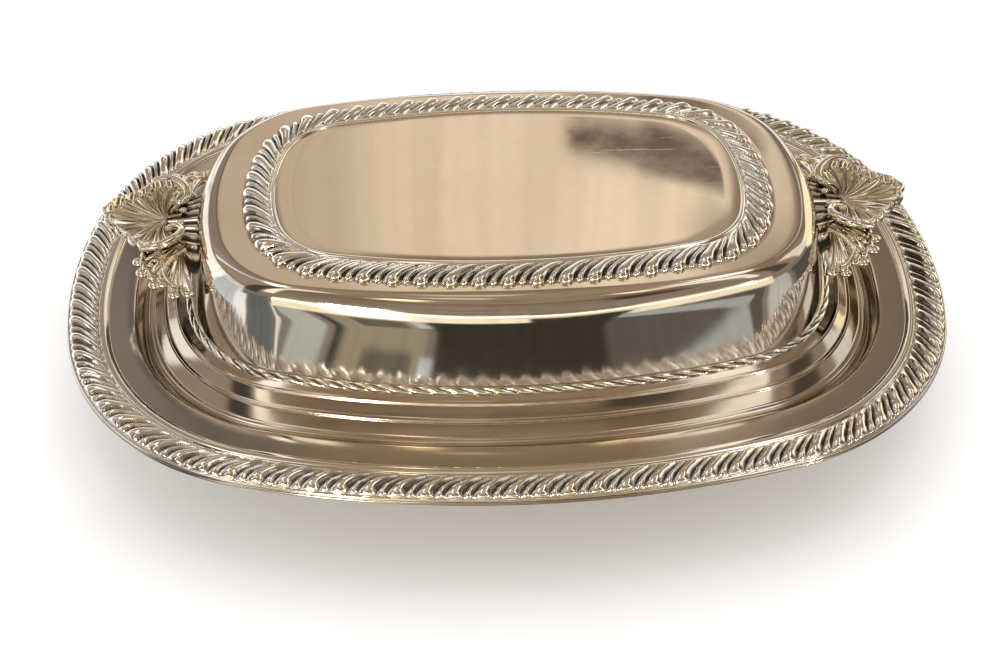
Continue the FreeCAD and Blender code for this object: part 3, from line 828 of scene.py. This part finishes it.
@dataclass
class Strip:
    """A border strip that lobes are raised on. Sizes in mm."""

    outline: Outline
    profile: list[tuple[float, float]]
    radii: list[float]
    per_lobe: int
    lobes: int
    middle: float
    relief_from: float
    relief_to: float
    warmth: float
    spacing: float

    def surface(self) -> Surface:
        """Sweeps the strip and gives its points their places along and across."""
        count = self.per_lobe * self.lobes
        reference = self.outline.inset(self.middle)
        stations = reference.even_stations(count)
        points, normals = reference.place(stations)
        line = subdivided(rounded(self.profile, self.radii, 4), self.spacing)
        insets, heights = line[:, 0], line[:, 1]
        tangents = np.gradient(line, axis=0)
        tangents /= np.linalg.norm(tangents, axis=1)[:, None]
        rows, lifts, outs, across = [], [], [], []
        for number, (inset, height) in enumerate(line):
            rows.append(raised(points + normals * (self.middle - inset), height))
            inwards, up = tangents[number]
            lifts.append(raised(-normals * up, -inwards))
            outs.append(raised(normals, 0.0))
            share = (inset - self.relief_from) / (self.relief_to - self.relief_from)
            across.append(np.full(count, float(np.clip(share, 0.0, 1.0))))
        along = np.tile(np.arange(count) / count, len(line))
        lift = np.concatenate(lifts)
        values = {ALONG: along, ACROSS: np.concatenate(across), LIFT: lift, OUTWARD: np.concatenate(outs),
                  WARMTH: np.full(len(along), self.warmth)}
        return Surface(np.concatenate(rows), grid_faces(len(line), count, True), values)


GADROON_SECTION = ((0.0, 0.0), (0.04, 0.42), (0.14, 0.82), (0.30, 1.0), (0.46, 0.84), (0.56, 0.45),
                   (0.60, 0.02), (0.64, 0.02), (0.69, 0.46), (0.80, 0.70), (0.91, 0.46), (0.97, 0.02),
                   (1.0, 0.0))
ROPE_SECTION = ((0.0, 0.0), (0.12, 0.6), (0.4, 1.0), (0.7, 0.75), (0.9, 0.2), (1.0, 0.0))
RIM_GADROON = Relief("rim_gadroon", GADROON_SECTION,
                     ((0.0, 0.0), (0.05, 0.5), (0.18, 0.9), (0.5, 1.0), (0.85, 0.75), (1.0, 0.0)),
                     ((0.0, 0.0), (0.25, 0.12), (0.6, 0.5), (1.0, 1.0)),
                     ((0.0, 0.0), (0.05, 0.4), (0.3, 0.0), (1.0, 0.0)))
TOP_GADROON = Relief("top_gadroon", GADROON_SECTION,
                     ((0.0, 0.55), (0.06, 0.9), (0.18, 1.0), (0.5, 0.85), (0.85, 0.55), (1.0, 0.0)),
                     ((0.0, 0.0), (0.25, 0.14), (0.6, 0.5), (1.0, 1.0)),
                     ((0.0, 1.0), (0.12, 1.0), (0.35, 0.2), (0.6, 0.0), (1.0, 0.0)))
ROPE = Relief("rope_twist", ROPE_SECTION,
              ((0.0, 0.0), (0.2, 0.9), (0.5, 1.0), (0.8, 0.9), (1.0, 0.0)),
              ((0.0, 0.0), (1.0, 1.0)))


@dataclass
class Borders:
    """The three applied borders: rim gadroon, top gadroon and rope."""

    flange_top: float = 41.2
    ring_height: float = 80.1
    panel_height: float = 81.4
    ledge_height: float = 46.7
    warmth: float = 0.12
    start: float = 0.16
    rim_lobes: int = 97
    top_lobes: int = 50
    rope_lobes: int = 88
    gadroon_twist: float = -0.95
    gadroon_height: float = 2.1

    def rim(self, finish: bpy.types.Material) -> bpy.types.Object:
        """Builds the gadroon border on the flange's edge."""
        seat = self.flange_top
        profile = [(15.4, seat), (15.3, seat + 0.9), (13.6, seat + 1.5), (12.0, seat + 1.3),
                   (11.4, seat + 0.7), (10.8, seat + 0.6), (8.0, seat + 1.3), (4.6, seat + 1.75),
                   (2.2, seat + 1.3), (1.8, seat + 0.9), (0.6, seat + 0.9), (0.3, seat + 0.6), (0.3, seat)]
        radii = [0.0, 0.35, 0.9, 0.4, 0.3, 0.3, 1.6, 1.4, 0.4, 0.25, 0.3, 0.2, 0.0]
        strip = Strip(RIM, profile, radii, per_lobe=18, lobes=self.rim_lobes, middle=6.0, relief_from=1.6,
                      relief_to=11.0, warmth=self.warmth, spacing=0.85)
        piece = strip.surface().build("rim_gadroon_border")
        RIM_GADROON.raise_on(piece, finish, self.rim_lobes, self.gadroon_twist, self.gadroon_height,
                             tip_reach=0.5, start=self.start)
        return piece

    def top(self, finish: bpy.types.Material) -> bpy.types.Object:
        """Builds the gadroon border round the top panel."""
        low, high = self.ring_height, self.panel_height
        profile = [(11.1, high - 0.2), (11.1, high + 0.5), (10.3, high + 0.95), (9.5, high + 0.5),
                   (9.1, high + 0.1), (8.0, high + 0.1), (5.0, high - 0.1), (2.6, low + 0.6),
                   (1.7, low + 0.1), (1.6, low - 0.6)]
        radii = [0.0, 0.4, 0.6, 0.3, 0.2, 0.8, 1.5, 0.6, 0.3, 0.0]
        strip = Strip(TOP, profile, radii, per_lobe=24, lobes=self.top_lobes, middle=5.0, relief_from=1.6,
                      relief_to=9.2, warmth=self.warmth, spacing=0.6)
        piece = strip.surface().build("top_gadroon_border")
        TOP_GADROON.raise_on(piece, finish, self.top_lobes, self.gadroon_twist, self.gadroon_height,
                             tip_reach=1.0, start=self.start)
        return piece

    def rope(self, finish: bpy.types.Material) -> bpy.types.Object:
        """Builds the rope border at the foot of the wall."""
        low = self.ledge_height
        profile = [(45.9, low + 1.5), (45.4, low + 1.35), (44.7, low + 0.8), (44.2, low + 0.3),
                   (44.1, low - 0.1), (45.4, low - 0.1)]
        radii = [0.0, 0.4, 0.6, 0.5, 0.1, 0.0]
        strip = Strip(RIM, profile, radii, per_lobe=12, lobes=self.rope_lobes, middle=44.8,
                      relief_from=44.1, relief_to=45.8, warmth=self.warmth, spacing=0.4)
        piece = strip.surface().build("rope_border")
        ROPE.raise_on(piece, finish, self.rope_lobes, twist=0.9, height=0.75)
        return piece


@dataclass(frozen=True)
class Fan:
    """A cast fan of ribs with a rolled edge: shell or leaf. Sizes in mm, turns in degrees from +X."""

    centre: Triple
    reach: Pairs
    rise: Pairs
    roll: Pairs
    ribs: int
    rib_height: float
    hollow: float
    scallop: float
    sheet: float = 1.6
    root: float = 1.6
    bend: float = 0.0
    columns_per_rib: int = 12
    rows: int = 22

    def surface(self) -> Surface:
        """Builds the fan as one form, with the patina in its flutes and the painted shade underneath marked.
        """
        first, last = self.reach[0][0], self.reach[-1][0]
        count = self.ribs * self.columns_per_rib + 1
        turns = np.linspace(first, last, count)
        share = (turns - first) / (last - first) * self.ribs
        ridge = np.abs(np.sin(share * math.pi))
        reach = np.interp(turns, *zip(*self.reach))
        rise = np.interp(turns, *zip(*self.rise))
        roll = np.interp(turns, *zip(*self.roll))
        full = 1.0 - (1.0 - ridge ** 0.6) * self.scallop
        edge = reach * (1.0 - (1.0 - ridge ** 0.7) * self.scallop * 0.12)
        radius = roll * (0.55 + 0.45 * full)
        middle = (first + last) / 2
        rows, patina_and_shade_rows, steps = [], [], []

        def skin(step: float) -> tuple[np.ndarray, np.ndarray]:
            """Returns how far out and how high the plain bowl lies at a step from root to edge."""
            bowl = self.hollow * (step ** 2 - step)
            return self.root + (edge - radius - self.root) * step, rise * step ** 1.5 + bowl * 4.0

        for step in np.linspace(0.0, 1.0, self.rows):
            steps.append(step)
            out, bowl = skin(step)
            flute = self.rib_height * (1.0 - ridge) ** 1.6 * min(1.0, step * 2.2) * (1.0 - 0.55 * step ** 4)
            rows.append((out, bowl + flute))
            patina_and_shade_rows.append(ridge ** 2 * (0.35 + 0.5 * (1 - step)))
        inner_height = rows[-1][1]
        for turn in np.linspace(-150.0, 120.0, 12)[::-1][1:]:
            angle = math.radians(turn)
            steps.append(1.0)
            rows.append((edge - radius + radius * math.cos(angle),
                         inner_height + radius * (0.5 + math.sin(angle) * 0.9)))
            patina_and_shade_rows.append((1.0 - full) * np.ones(count))
        for step in np.linspace(1.0, 0.0, self.rows + 11)[1:]:
            out, bowl = skin(step)
            steps.append(step)
            rows.append((out, bowl - self.sheet))
            # Painted shade on the underside
            patina_and_shade_rows.append(np.full(count, 0.6))
        points = []
        for (out, height), step in zip(rows, steps):
            bent_turns = np.radians(middle + (turns - middle) * (1.0 - self.bend * (1.0 - step) ** 1.5))
            points.append(np.column_stack([self.centre[0] + out * np.cos(bent_turns),
                                           self.centre[1] + out * np.sin(bent_turns),
                                           np.full(count, self.centre[2]) + height]))
        faces = [face[::-1] for face in grid_faces(len(rows), count, True, goes_round=False)]
        faces += side_faces(len(rows), count, True)
        return Surface(np.concatenate(points), faces, {PATINA_AND_SHADE: np.concatenate(patina_and_shade_rows)})


def berry(centre: Triple, radii: Triple) -> Surface:
    """Builds a small cast berry, a closed egg shape with its middle and its half sizes in mm."""
    around, up = 14, 9
    points = []
    for row in range(1, up):
        lift = math.pi * (row / up - 0.5)
        for column in range(around):
            turn = math.tau * column / around
            points.append((math.cos(lift) * math.cos(turn), math.cos(lift) * math.sin(turn), math.sin(lift)))
    points += [(0.0, 0.0, -1.0), (0.0, 0.0, 1.0)]
    shape = np.array(points) * np.array(radii) + np.array(centre)
    # Painted shade on the berry's lower half
    groove = np.clip(0.5 - np.array(points)[:, 2], 0.0, 1.0) * 0.8
    return Surface(shape, closed_faces(up - 1, around), {PATINA_AND_SHADE: groove})


def tube(path: list[Triple], radii: list[float], steps: int = 40,
         sides: int = 12) -> Surface:
    """Builds a tapering cast strand along a smooth path.

    Args:
        path: Points that the strand passes, in mm.
        radii: Its half thickness at each of them.
        steps: Rings along it.
        sides: Points in each ring.

    Returns:
        A closed strand with pointed ends.
    """
    marks = np.array(path, float)
    places = np.linspace(0.0, len(marks) - 1.0, steps)
    line = np.zeros((steps, 3))
    for number, place in enumerate(places):
        index = min(int(place), len(marks) - 2)
        share = place - index
        before = marks[max(index - 1, 0)]
        start, end = marks[index], marks[index + 1]
        after = marks[min(index + 2, len(marks) - 1)]
        line[number] = 0.5 * (2 * start + (end - before) * share
                              + (2 * before - 5 * start + 4 * end - after) * share ** 2
                              + (3 * start - before - 3 * end + after) * share ** 3)
    width = np.interp(places, np.arange(len(marks)), radii)
    ahead = np.gradient(line, axis=0)
    ahead /= np.linalg.norm(ahead, axis=1)[:, None]
    side = np.cross(ahead, np.array([0.0, 0.0, 1.0]))
    side /= np.maximum(np.linalg.norm(side, axis=1), 1e-6)[:, None]
    top = np.cross(side, ahead)
    points = []
    for number in range(steps):
        for turn in np.arange(sides) / sides * math.tau:
            spoke = side[number] * math.cos(turn) + top[number] * math.sin(turn)
            points.append(line[number] + width[number] * spoke)
    points += [line[0] - ahead[0] * width[0] * 0.6, line[-1] + ahead[-1] * width[-1] * 0.6]
    return Surface(np.array(points), closed_faces(steps, sides), {PATINA_AND_SHADE: np.full(len(points), 0.1)})


@dataclass
class Handle:
    """A cast lug: shell with a curled edge, fluted neck and two drooping leaves. Sizes in mm."""

    end: End
    wall_inset: tuple[float, float] = (45.3, 46.7)
    wall_lean: float = 5.7 / 26.3
    bite: float = 1.4
    neck_start: float = 112.5
    neck_length: float = 15.5
    neck_half: float = 22.0
    neck_taper: float = 10.0
    neck_top: float = 65.2
    neck_drop: float = 0.8
    neck_arch: float = 3.2
    neck_under: float = 58.5
    under_rise: float = 5.0
    under_arch: float = 2.0
    neck_flutes: float = 4.5
    flute_height: float = 0.7
    flute_fade: float = 0.4
    neck_columns: int = 61
    neck_rows: int = 14
    warmth: float = 0.35

    def shell(self) -> Surface:
        """Builds the fan-shaped shell."""
        side = ((-112.0, 14.5), (-100.0, 18.0), (-84.0, 20.2), (-70.0, 21.4), (-56.0, 20.6), (-44.0, 19.6),
                (-30.0, 21.0), (-14.0, 23.6), (0.0, 24.6))
        rise = ((-112.0, 1.2), (-90.0, 1.8), (-50.0, 0.8), (0.0, 3.6))
        roll = ((-112.0, 1.2), (-95.0, 1.7), (-72.0, 1.9), (-46.0, 1.6), (-20.0, 1.9), (0.0, 2.1))
        whole = [half + tuple((-turn, value) for turn, value in half[-2::-1]) for half in (side, rise, roll)]
        return Fan((124.0, 0.0, 68.8), *whole, ribs=13, rib_height=1.7, hollow=0.75, scallop=0.5,
                   bend=0.42).surface()

    def leaf(self) -> Surface:
        """Builds the back leaf."""
        reach = ((12.0, 15.5), (32.0, 18.5), (52.0, 20.5), (72.0, 21.5), (90.0, 24.0), (102.0, 25.5))
        rise = ((12.0, -1.8), (32.0, -2.6), (52.0, -2.4), (72.0, -4.6), (90.0, -5.8), (102.0, -5.6))
        roll = ((12.0, 1.6), (52.0, 1.8), (102.0, 1.5))
        return Fan((117.5, 12.5, 67.6), reach, rise, roll, ribs=7, rib_height=1.7, hollow=-0.3, scallop=0.7,
                   bend=0.3, columns_per_rib=14).surface()

    def leaf_trim(self) -> Surface:
        """Builds the berries and the strand round the hollow of the back leaf."""
        whole = tube([(117.0, 16.0, 67.0), (121.0, 20.5, 67.4), (124.0, 26.0, 66.0), (121.0, 31.5, 63.8),
                      (115.5, 33.5, 63.0)], [0.7, 1.1, 1.2, 1.1, 0.8])
        berries = (((133.4, 20.8, 65.8), 1.9), ((131.4, 26.6, 65.6), 2.0), ((126.6, 31.6, 64.2), 2.0),
                   ((119.8, 35.4, 62.4), 1.8), ((123.0, 23.0, 67.0), 1.3), ((127.2, 21.6, 67.2), 1.1))
        for place, size in berries:
            whole = whole.joined(berry(place, (size * 1.2, size * 1.1, size * 0.7)))
        return whole

    def neck(self) -> Surface:
        """Builds the fluted neck between wall and shell."""
        across = np.linspace(-1.0, 1.0, self.neck_columns)
        arch = 1.0 - across ** 2
        flutes = np.abs(np.sin(across * self.neck_flutes * math.pi))
        steps = np.linspace(0.0, 1.0, self.neck_rows)

        def row(step: float, heights: np.ndarray) -> np.ndarray:
            """Returns one row of points across the neck."""
            out = np.full(self.neck_columns, self.neck_start + self.neck_length * step)
            return np.column_stack([out, across * (self.neck_half - self.neck_taper * step), heights])

        crown = self.neck_top + arch * self.neck_arch
        ribs = self.flute_height * (1.0 - flutes)
        rows = [row(step, crown + ribs * (1 - self.flute_fade * step) - self.neck_drop * step)
                for step in steps]
        rows += [row(step, self.neck_under + self.under_rise * step + arch * self.under_arch)
                 for step in steps[::-1]]
        # Patina in the flutes, and painted shade on the underside
        patina_and_shade_rows = [flutes ** 2 * 0.8] * self.neck_rows + [np.full(self.neck_columns, 0.6)] * self.neck_rows
        faces = grid_faces(len(rows), self.neck_columns, True, goes_round=False)
        faces += side_faces(len(rows), self.neck_columns, False)
        return Surface(np.concatenate(rows), faces, {PATINA_AND_SHADE: np.concatenate(patina_and_shade_rows)})

    def volute(self) -> Surface:
        """Builds the hooked scroll where the shell's back edge ends at the wall."""
        strand = tube([(132.0, 20.4, 71.6), (125.5, 20.0, 72.4), (120.2, 15.6, 72.2), (118.6, 10.6, 71.6),
                       (120.6, 7.0, 71.2), (123.6, 7.4, 71.0)], [0.9, 1.5, 1.7, 1.5, 1.2, 0.9], 48)
        strand = strand.joined(berry((123.4, 8.2, 70.8), (1.5, 1.5, 1.2)))
        return strand.joined(berry((119.8, 3.6, 69.8), (1.4, 1.3, 1.1)))

    def to_wall(self, surface: Surface) -> Surface:
        """Returns a surface with each point that lies too deep in the wall pressed out to the bite."""
        points = surface.points.copy()
        wall = RIM.half_length - self.wall_inset[0] - (points[:, 2] - self.wall_inset[1]) * self.wall_lean
        reach = np.hypot(points[:, 0], points[:, 1])
        wanted = np.maximum(reach, wall - self.bite)
        points[:, :2] *= (wanted / reach)[:, None]
        return Surface(points, surface.faces, surface.values)

    def build(self) -> bpy.types.Object:
        """Joins the handle's forms and turns it to its end."""
        back = self.leaf().joined(self.leaf_trim()).joined(self.volute())
        whole = self.shell().joined(self.neck()).joined(back).joined(back.flipped(FRONT_TO_BACK))
        whole = self.to_wall(whole)
        whole.values[WARMTH] = np.full(len(whole.points), self.warmth)
        if self.end is End.LEFT:
            whole = whole.flipped(HALF_TURN)
        return whole.build(self.end.name.lower() + "_shell_handle")


def square(reach: float) -> list[tuple[float, float]]:
    """Returns the corners of a square round the origin, anticlockwise from above."""
    return [(-reach, -reach), (reach, -reach), (reach, reach), (-reach, reach)]


def reflected_only(piece: bpy.types.Object) -> None:
    """Hides a piece of the studio from the camera, diffuse light and shadows, so that it shows in the silver.
    """
    piece.visible_camera = False
    piece.visible_diffuse = False
    piece.visible_shadow = False


@dataclass(frozen=True)
class Glow:
    """A soft-edged patch of the tent, in degrees; azimuth 0 lies behind the dish and 90 at its right."""

    azimuth: float
    elevation: float
    width: float
    height: float
    colour: Triple
    softness: float = 4.0
    slope: float = 0.0

    def mask(self, graph: Graph, azimuth: Socket, elevation: Socket) -> Socket:
        """Returns a mask that is 1 in the patch and fades out past its edge."""
        turn = graph.math("SUBTRACT", azimuth, self.azimuth)
        aside = graph.first("ShaderNodeMath", {0: turn, 1: 180.0, 2: -180.0}, operation="WRAP")
        above = graph.math("SUBTRACT", elevation, self.elevation)
        if self.slope:
            above = graph.math("SUBTRACT", above, graph.product(aside, self.slope))
        masks = []
        for away, reach in ((aside, self.width / 2), (above, self.height / 2)):
            distance = graph.math("ABSOLUTE", away)
            masks.append(graph.ranged(distance, reach, reach + self.softness, 1.0, 0.0, smooth=True))
        return graph.product(masks[0], masks[1])


def glows_from(*rows: tuple) -> tuple[Glow, ...]:
    """Returns a patch for each row: azimuth, elevation, width, height, colour, softness and slope."""
    return tuple(Glow(*row) for row in rows)


# Patches that the top panel, the shoulder and the borders mirror, each over those before it
UPPER_GLOWS = glows_from(
    (0, 9, 70, 24, (1.2, 1.2, 1.2), 3),
    (-17, 39, 10, 14, (0.165, 0.145, 0.135), 4),
    (3, 36.5, 30, 9, (0.94, 0.80, 0.65), 3),
    (-9.5, 36.5, 4, 12, (0.66, 0.55, 0.44), 5),
    (13, 39, 10, 4, (1.05, 0.91, 0.73), 2),
    (9.6, 34.85, 4.2, 0.4, (0.16, 0.125, 0.11), 1.1, 0.07),
    (14.4, 35.2, 5, 1.4, (0.15, 0.12, 0.105), 0.8, 0.09),
    (21, 46, 9, 14, (0.46, 0.375, 0.30), 3),
    (36, 31, 26, 34, (0.26, 0.205, 0.165), 3),
    (33, 34, 2, 24, (0.80, 0.74, 0.66), 1.5),
    (56, 8, 30, 30, (1.4, 1.25, 0.90), 3),
    (76, 26, 16, 34, (0.98, 0.96, 0.92), 3),
    (86, 66, 70, 7, (1.6, 1.6, 1.6), 2.5),
    (-80, 46, 64, 40, (0.42, 0.345, 0.30), 6),
    (-31, 32, 22, 32, (0.31, 0.265, 0.24), 3),
    (-66, 1, 54, 27, (1.3, 1.3, 1.28), 3),
    (-64, 44, 4, 40, (1.3, 1.3, 1.28), 1.5),
    (-88, 66, 76, 7, (1.9, 1.9, 1.9), 2.5),
    (-100, 0, 20, 26, (0.80, 0.82, 0.84), 3),
    (-118, 40, 10, 56, (0.07, 0.065, 0.055), 4),
    (-133, 44, 8, 44, (1.6, 1.5, 1.35), 2.5),
    (178, 62, 34, 20, (0.42, 0.33, 0.235), 6),
    (-164, 82, 30, 5, (1, 0.95, 0.84), 3),
    (0, 76, 24, 7, (0.80, 0.72, 0.62), 4),
    (155, 38, 8, 9, (0.09, 0.07, 0.06), 5),
    (134, 44, 8, 40, (1.5, 1.42, 1.28), 3),
    (106, 34, 12, 36, (0.10, 0.08, 0.065), 6),
)

# Window panes, furniture and dark floor that the front wall mirrors
WALL_GLOWS = glows_from(
    (-97, -12, 16, 30, (0.60, 0.64, 0.67), 3),
    (-112, -11, 8, 17, (1, 1, 1), 1.5),
    (-127, -12, 14, 30, (0.15, 0.16, 0.16), 3),
    (-138.5, -12, 1.2, 16, (0.80, 0.79, 0.74), 0.7),
    (-144.5, -9, 5, 9, (0.50, 0.52, 0.47), 1),
    (-150, -10, 1.4, 6, (0.06, 0.06, 0.055), 0.6),
    (-158, -12, 13, 20, (0.34, 0.29, 0.20), 2),
    (-159, -9, 8, 4, (0.15, 0.13, 0.10), 0.8),
    (-166.5, -7.5, 2.8, 6.5, (0.62, 0.64, 0.68), 0.5),
    (176.5, -12, 31, 20, (0.045, 0.038, 0.030), 1.6),
    (145, -13, 31, 14, (0.12, 0.10, 0.085), 2),
    (148, -8.5, 24, 2.6, (0.42, 0.43, 0.42), 1, 0.2),
    (115, -12, 16, 20, (0.55, 0.53, 0.50), 3),
    (88, -15, 22, 24, (0.10, 0.09, 0.08), 4),
)

# Low sun on the cloth and the lamps' streaks, which make the gold lines on shoulder and flare
SUN_GLOWS = glows_from(
    (-162, 1.8, 44, 14, (1.15, 1.03, 0.80), 1),
    (168, 4, 26, 6, (1, 0.85, 0.60), 1.6),
    (140, 2.4, 38, 13, (1.1, 0.98, 0.76), 1.4),
    (-162, 5, 44, 1.6, (4.5, 3.9, 2.8), 1.2),
    (156, 5, 60, 1, (3.2, 2.7, 1.9), 1.2),
    (-160.5, 3, 8, 11, (3.2, 2.8, 2), 3),
    (-161, 60, 3, 4, (3.2, 2.7, 1.8), 6),
    (147, 60, 3, 4, (2.2, 1.85, 1.2), 5),
)


@dataclass
class Tent:
    """The warm photographer's tent that the silver mirrors, with its folds, gaps and lit patches."""

    reach: float = 2.4
    middle: float = 0.06
    cloth: tuple[tuple[float, Triple], ...] = (
        (0.0, (0.24, 0.20, 0.165)), (0.2, (0.36, 0.29, 0.235)), (0.42, (0.36, 0.285, 0.22)),
        (0.52, (0.29, 0.215, 0.145)), (0.75, (0.37, 0.285, 0.21)), (1.0, (0.42, 0.33, 0.24)))
    glows: tuple[Glow, ...] = UPPER_GLOWS + WALL_GLOWS + SUN_GLOWS
    panel_view: Glow = Glow(3.0, 37.0, 32.0, 12.0, WHITE, 3.0)
    front_view: Glow = Glow(180.0, 40.0, 90.0, 62.0, WHITE, 10.0)
    fold_rate: float = 0.45
    seam_sway: float = 0.6
    seam_gap: float = 0.66
    seam_width: float = 0.12
    streak_rates: tuple[float, float] = (0.03, 0.35)

    def material(self) -> bpy.types.Material:
        """Builds the tent's glow, which is chosen by direction."""
        material, graph = blank_material("tent_cloth")
        place = graph.add("ShaderNodeTexCoord").outputs["Object"]
        parts = graph.add("ShaderNodeSeparateXYZ", {0: place}).outputs
        squares = [graph.product(part, part) for part in parts[:2]]
        across = graph.math("SQRT", graph.total(squares[0], squares[1]))
        azimuth = graph.product(graph.math("ARCTAN2", parts[0], parts[1]), math.degrees(1.0))
        rise = graph.math("SUBTRACT", parts[2], self.middle)
        elevation = graph.product(graph.math("ARCTAN2", rise, across), math.degrees(1.0))
        ramp = graph.add("ShaderNodeValToRGB", {0: graph.math("DIVIDE", elevation, 90.0)})
        stops = ramp.color_ramp.elements
        for number, (position, colour) in enumerate(self.cloth):
            stop = stops[number] if number < 2 else stops.new(position)
            stop.position = position
            stop.color = (*colour, 1.0)
        colour = ramp.outputs[0]
        for glow in self.glows:
            colour = graph.mixed(glow.mask(graph, azimuth, elevation), colour, (*glow.colour, 1.0))
        folds = graph.first("ShaderNodeTexNoise", {"W": graph.product(azimuth, self.fold_rate), "Scale": 1.0,
                                                   "Detail": 2.0}, noise_dimensions="1D")
        strength = graph.ranged(folds, 0.30, 0.60, 0.86, 1.0)
        seam = graph.math("PINGPONG", graph.total(azimuth, graph.product(folds, self.seam_sway)),
                          self.seam_gap)
        crease = graph.ranged(seam, 0.0, self.seam_width, 0.86, 1.0)
        panel = self.panel_view.mask(graph, azimuth, elevation)
        strength = graph.product(strength, graph.inside(panel, crease))
        flat = graph.add("ShaderNodeCombineXYZ", {0: graph.product(azimuth, self.streak_rates[0]),
                                                  1: graph.product(elevation, self.streak_rates[1])})
        streaks = graph.ranged(graph.noise(flat.outputs[0], 1.0, 4.0), 0.35, 0.65, 0.68, 1.08)
        front = self.front_view.mask(graph, azimuth, elevation)
        strength = graph.product(strength, graph.inside(front, streaks))
        cloth = graph.add("ShaderNodeEmission", {"Color": colour, "Strength": strength})
        graph.add("ShaderNodeOutputMaterial", {"Surface": cloth.outputs[0]})
        return material

    def build(self) -> None:
        """Stands the tent round the dish, its ground sheet a millimetre over the floor."""
        corners = square(self.reach)
        mesh = bpy.data.meshes.new("tent")
        mesh.from_pydata([(x, y, MM) for x, y in corners] + [(x, y, self.reach) for x, y in corners], [],
                         [(0, 1, 5, 4), (1, 2, 6, 5), (2, 3, 7, 6), (3, 0, 4, 7), (4, 5, 6, 7), (0, 3, 2, 1)])
        mesh.materials.append(self.material())
        reflected_only(linked(bpy.data.objects.new("tent", mesh)))


@dataclass
class Studio:
    """Camera, lamps, pale floor and the surroundings that the silver mirrors."""

    lens: float = 50.62
    camera_place: Triple = (-0.02733, -0.41366, 0.38937)
    azimuth: float = -3.43
    elevation: float = 42.892
    roll: float = 0.362
    sensor: float = 36.0
    aim: Triple = (0.0, 0.0, 0.05)
    floor_reach: float = 4.0
    floor_tone: float = 0.98
    floor_roughness: float = 0.9

    def camera(self) -> None:
        """Sets the camera where the photograph was taken from."""
        turn, lift, roll = (math.radians(v) for v in (self.azimuth, self.elevation, self.roll))
        back = Vector((math.sin(turn) * math.cos(lift), -math.cos(turn) * math.cos(lift), math.sin(lift)))
        right = Vector((math.cos(turn), math.sin(turn), 0.0))
        up = back.cross(right)
        across = right * math.cos(roll) + up * math.sin(roll)
        upright = up * math.cos(roll) - right * math.sin(roll)
        data = bpy.data.cameras.new("photograph_view")
        data.sensor_fit = "HORIZONTAL"
        data.sensor_width = self.sensor
        data.lens = self.lens
        camera = bpy.data.objects.new("photograph_view", data)
        camera.matrix_world = Matrix((
            (across.x, upright.x, back.x, self.camera_place[0]),
            (across.y, upright.y, back.y, self.camera_place[1]),
            (across.z, upright.z, back.z, self.camera_place[2]),
            (0.0, 0.0, 0.0, 1.0)))
        bpy.context.scene.camera = linked(camera)

    def lamp(self, name: str, place: Triple, size: float, power: float,
             colour: Triple, mirrored: bool) -> None:
        """Adds a soft square lamp that points at the dish.

        Args:
            name: The lamp's name.
            place: Where it hangs, in metres.
            size: Its width, in metres.
            power: Its power in watts.
            colour: Its colour.
            mirrored: Whether the silver shows the lamp itself.
        """
        data = bpy.data.lights.new(name, "AREA")
        data.shape = "SQUARE"
        data.size = size
        data.energy = power
        data.color = colour
        lamp = linked(bpy.data.objects.new(name, data))
        lamp.visible_glossy = mirrored
        lamp.location = place
        lamp.rotation_euler = (Vector(self.aim) - Vector(place)).to_track_quat("-Z", "Y").to_euler()

    def floor(self) -> None:
        """Lays the pale floor, which keeps the dish's shadow."""
        mesh = bpy.data.meshes.new("floor")
        mesh.from_pydata([(x, y, 0.0) for x, y in square(self.floor_reach)], [], [(0, 1, 2, 3)])
        floor = linked(bpy.data.objects.new("floor", mesh))
        material = bpy.data.materials.new("pale_floor")
        material.use_nodes = True
        shader = material.node_tree.nodes["Principled BSDF"]
        shader.inputs["Base Color"].default_value = (self.floor_tone, self.floor_tone, self.floor_tone, 1.0)
        shader.inputs["Roughness"].default_value = self.floor_roughness
        mesh.materials.append(material)

    def world(self) -> None:
        """Gives the surroundings a plain white light."""
        world = bpy.data.worlds.new("studio")
        world.use_nodes = True
        world.node_tree.nodes.clear()
        graph = Graph(world.node_tree)
        background = graph.add("ShaderNodeBackground", {"Color": (*WHITE, 1.0), "Strength": 1.0})
        graph.add("ShaderNodeOutputWorld", {"Surface": background.outputs[0]})
        bpy.context.scene.world = world

    def build(self) -> None:
        """Sets up the whole studio."""
        bpy.context.scene.view_settings.view_transform = "Standard"
        self.camera()
        self.world()
        self.floor()
        self.lamp("overhead_softbox", (0.1, 0.1, 1.3), 0.9, 3.0, (1.0, 0.98, 0.95), False)
        self.lamp("left_front_lamp", (-0.44, -1.10, 0.22), 0.17, 4.0, (1.0, 0.93, 0.78), True)
        self.lamp("right_front_lamp", (0.80, -0.91, 0.20), 0.08, 1.2, (1.0, 0.94, 0.82), True)
        Tent().build()


def main() -> None:
    """Builds the dish piece by piece."""
    logging.basicConfig(level=logging.INFO, format="%(name)s: %(message)s")
    polished = POLISHED.material()
    border = BORDER.material()
    dish = DishShell().build()
    dress(dish, polished)
    settle(dish, "dish", ["dish_shell"])
    cover = CoverShell().build()
    dress(cover, polished)
    settle(cover, "cover", ["cover_shell"])
    borders = Borders()
    settle(borders.rim(border), "dish", ["dish_gadroon_border"])
    settle(borders.top(border), "cover", ["cover_gadroon_border"])
    settle(borders.rope(border), "cover", ["cover_rope_border"])
    casting = CASTING.material()
    for end in End:
        piece = Handle(end).build()
        dress(piece, casting)
        settle(piece, "cover", [end.name.lower() + "_handle"])
    Studio().build()


if __name__ == "__main__":
    main()
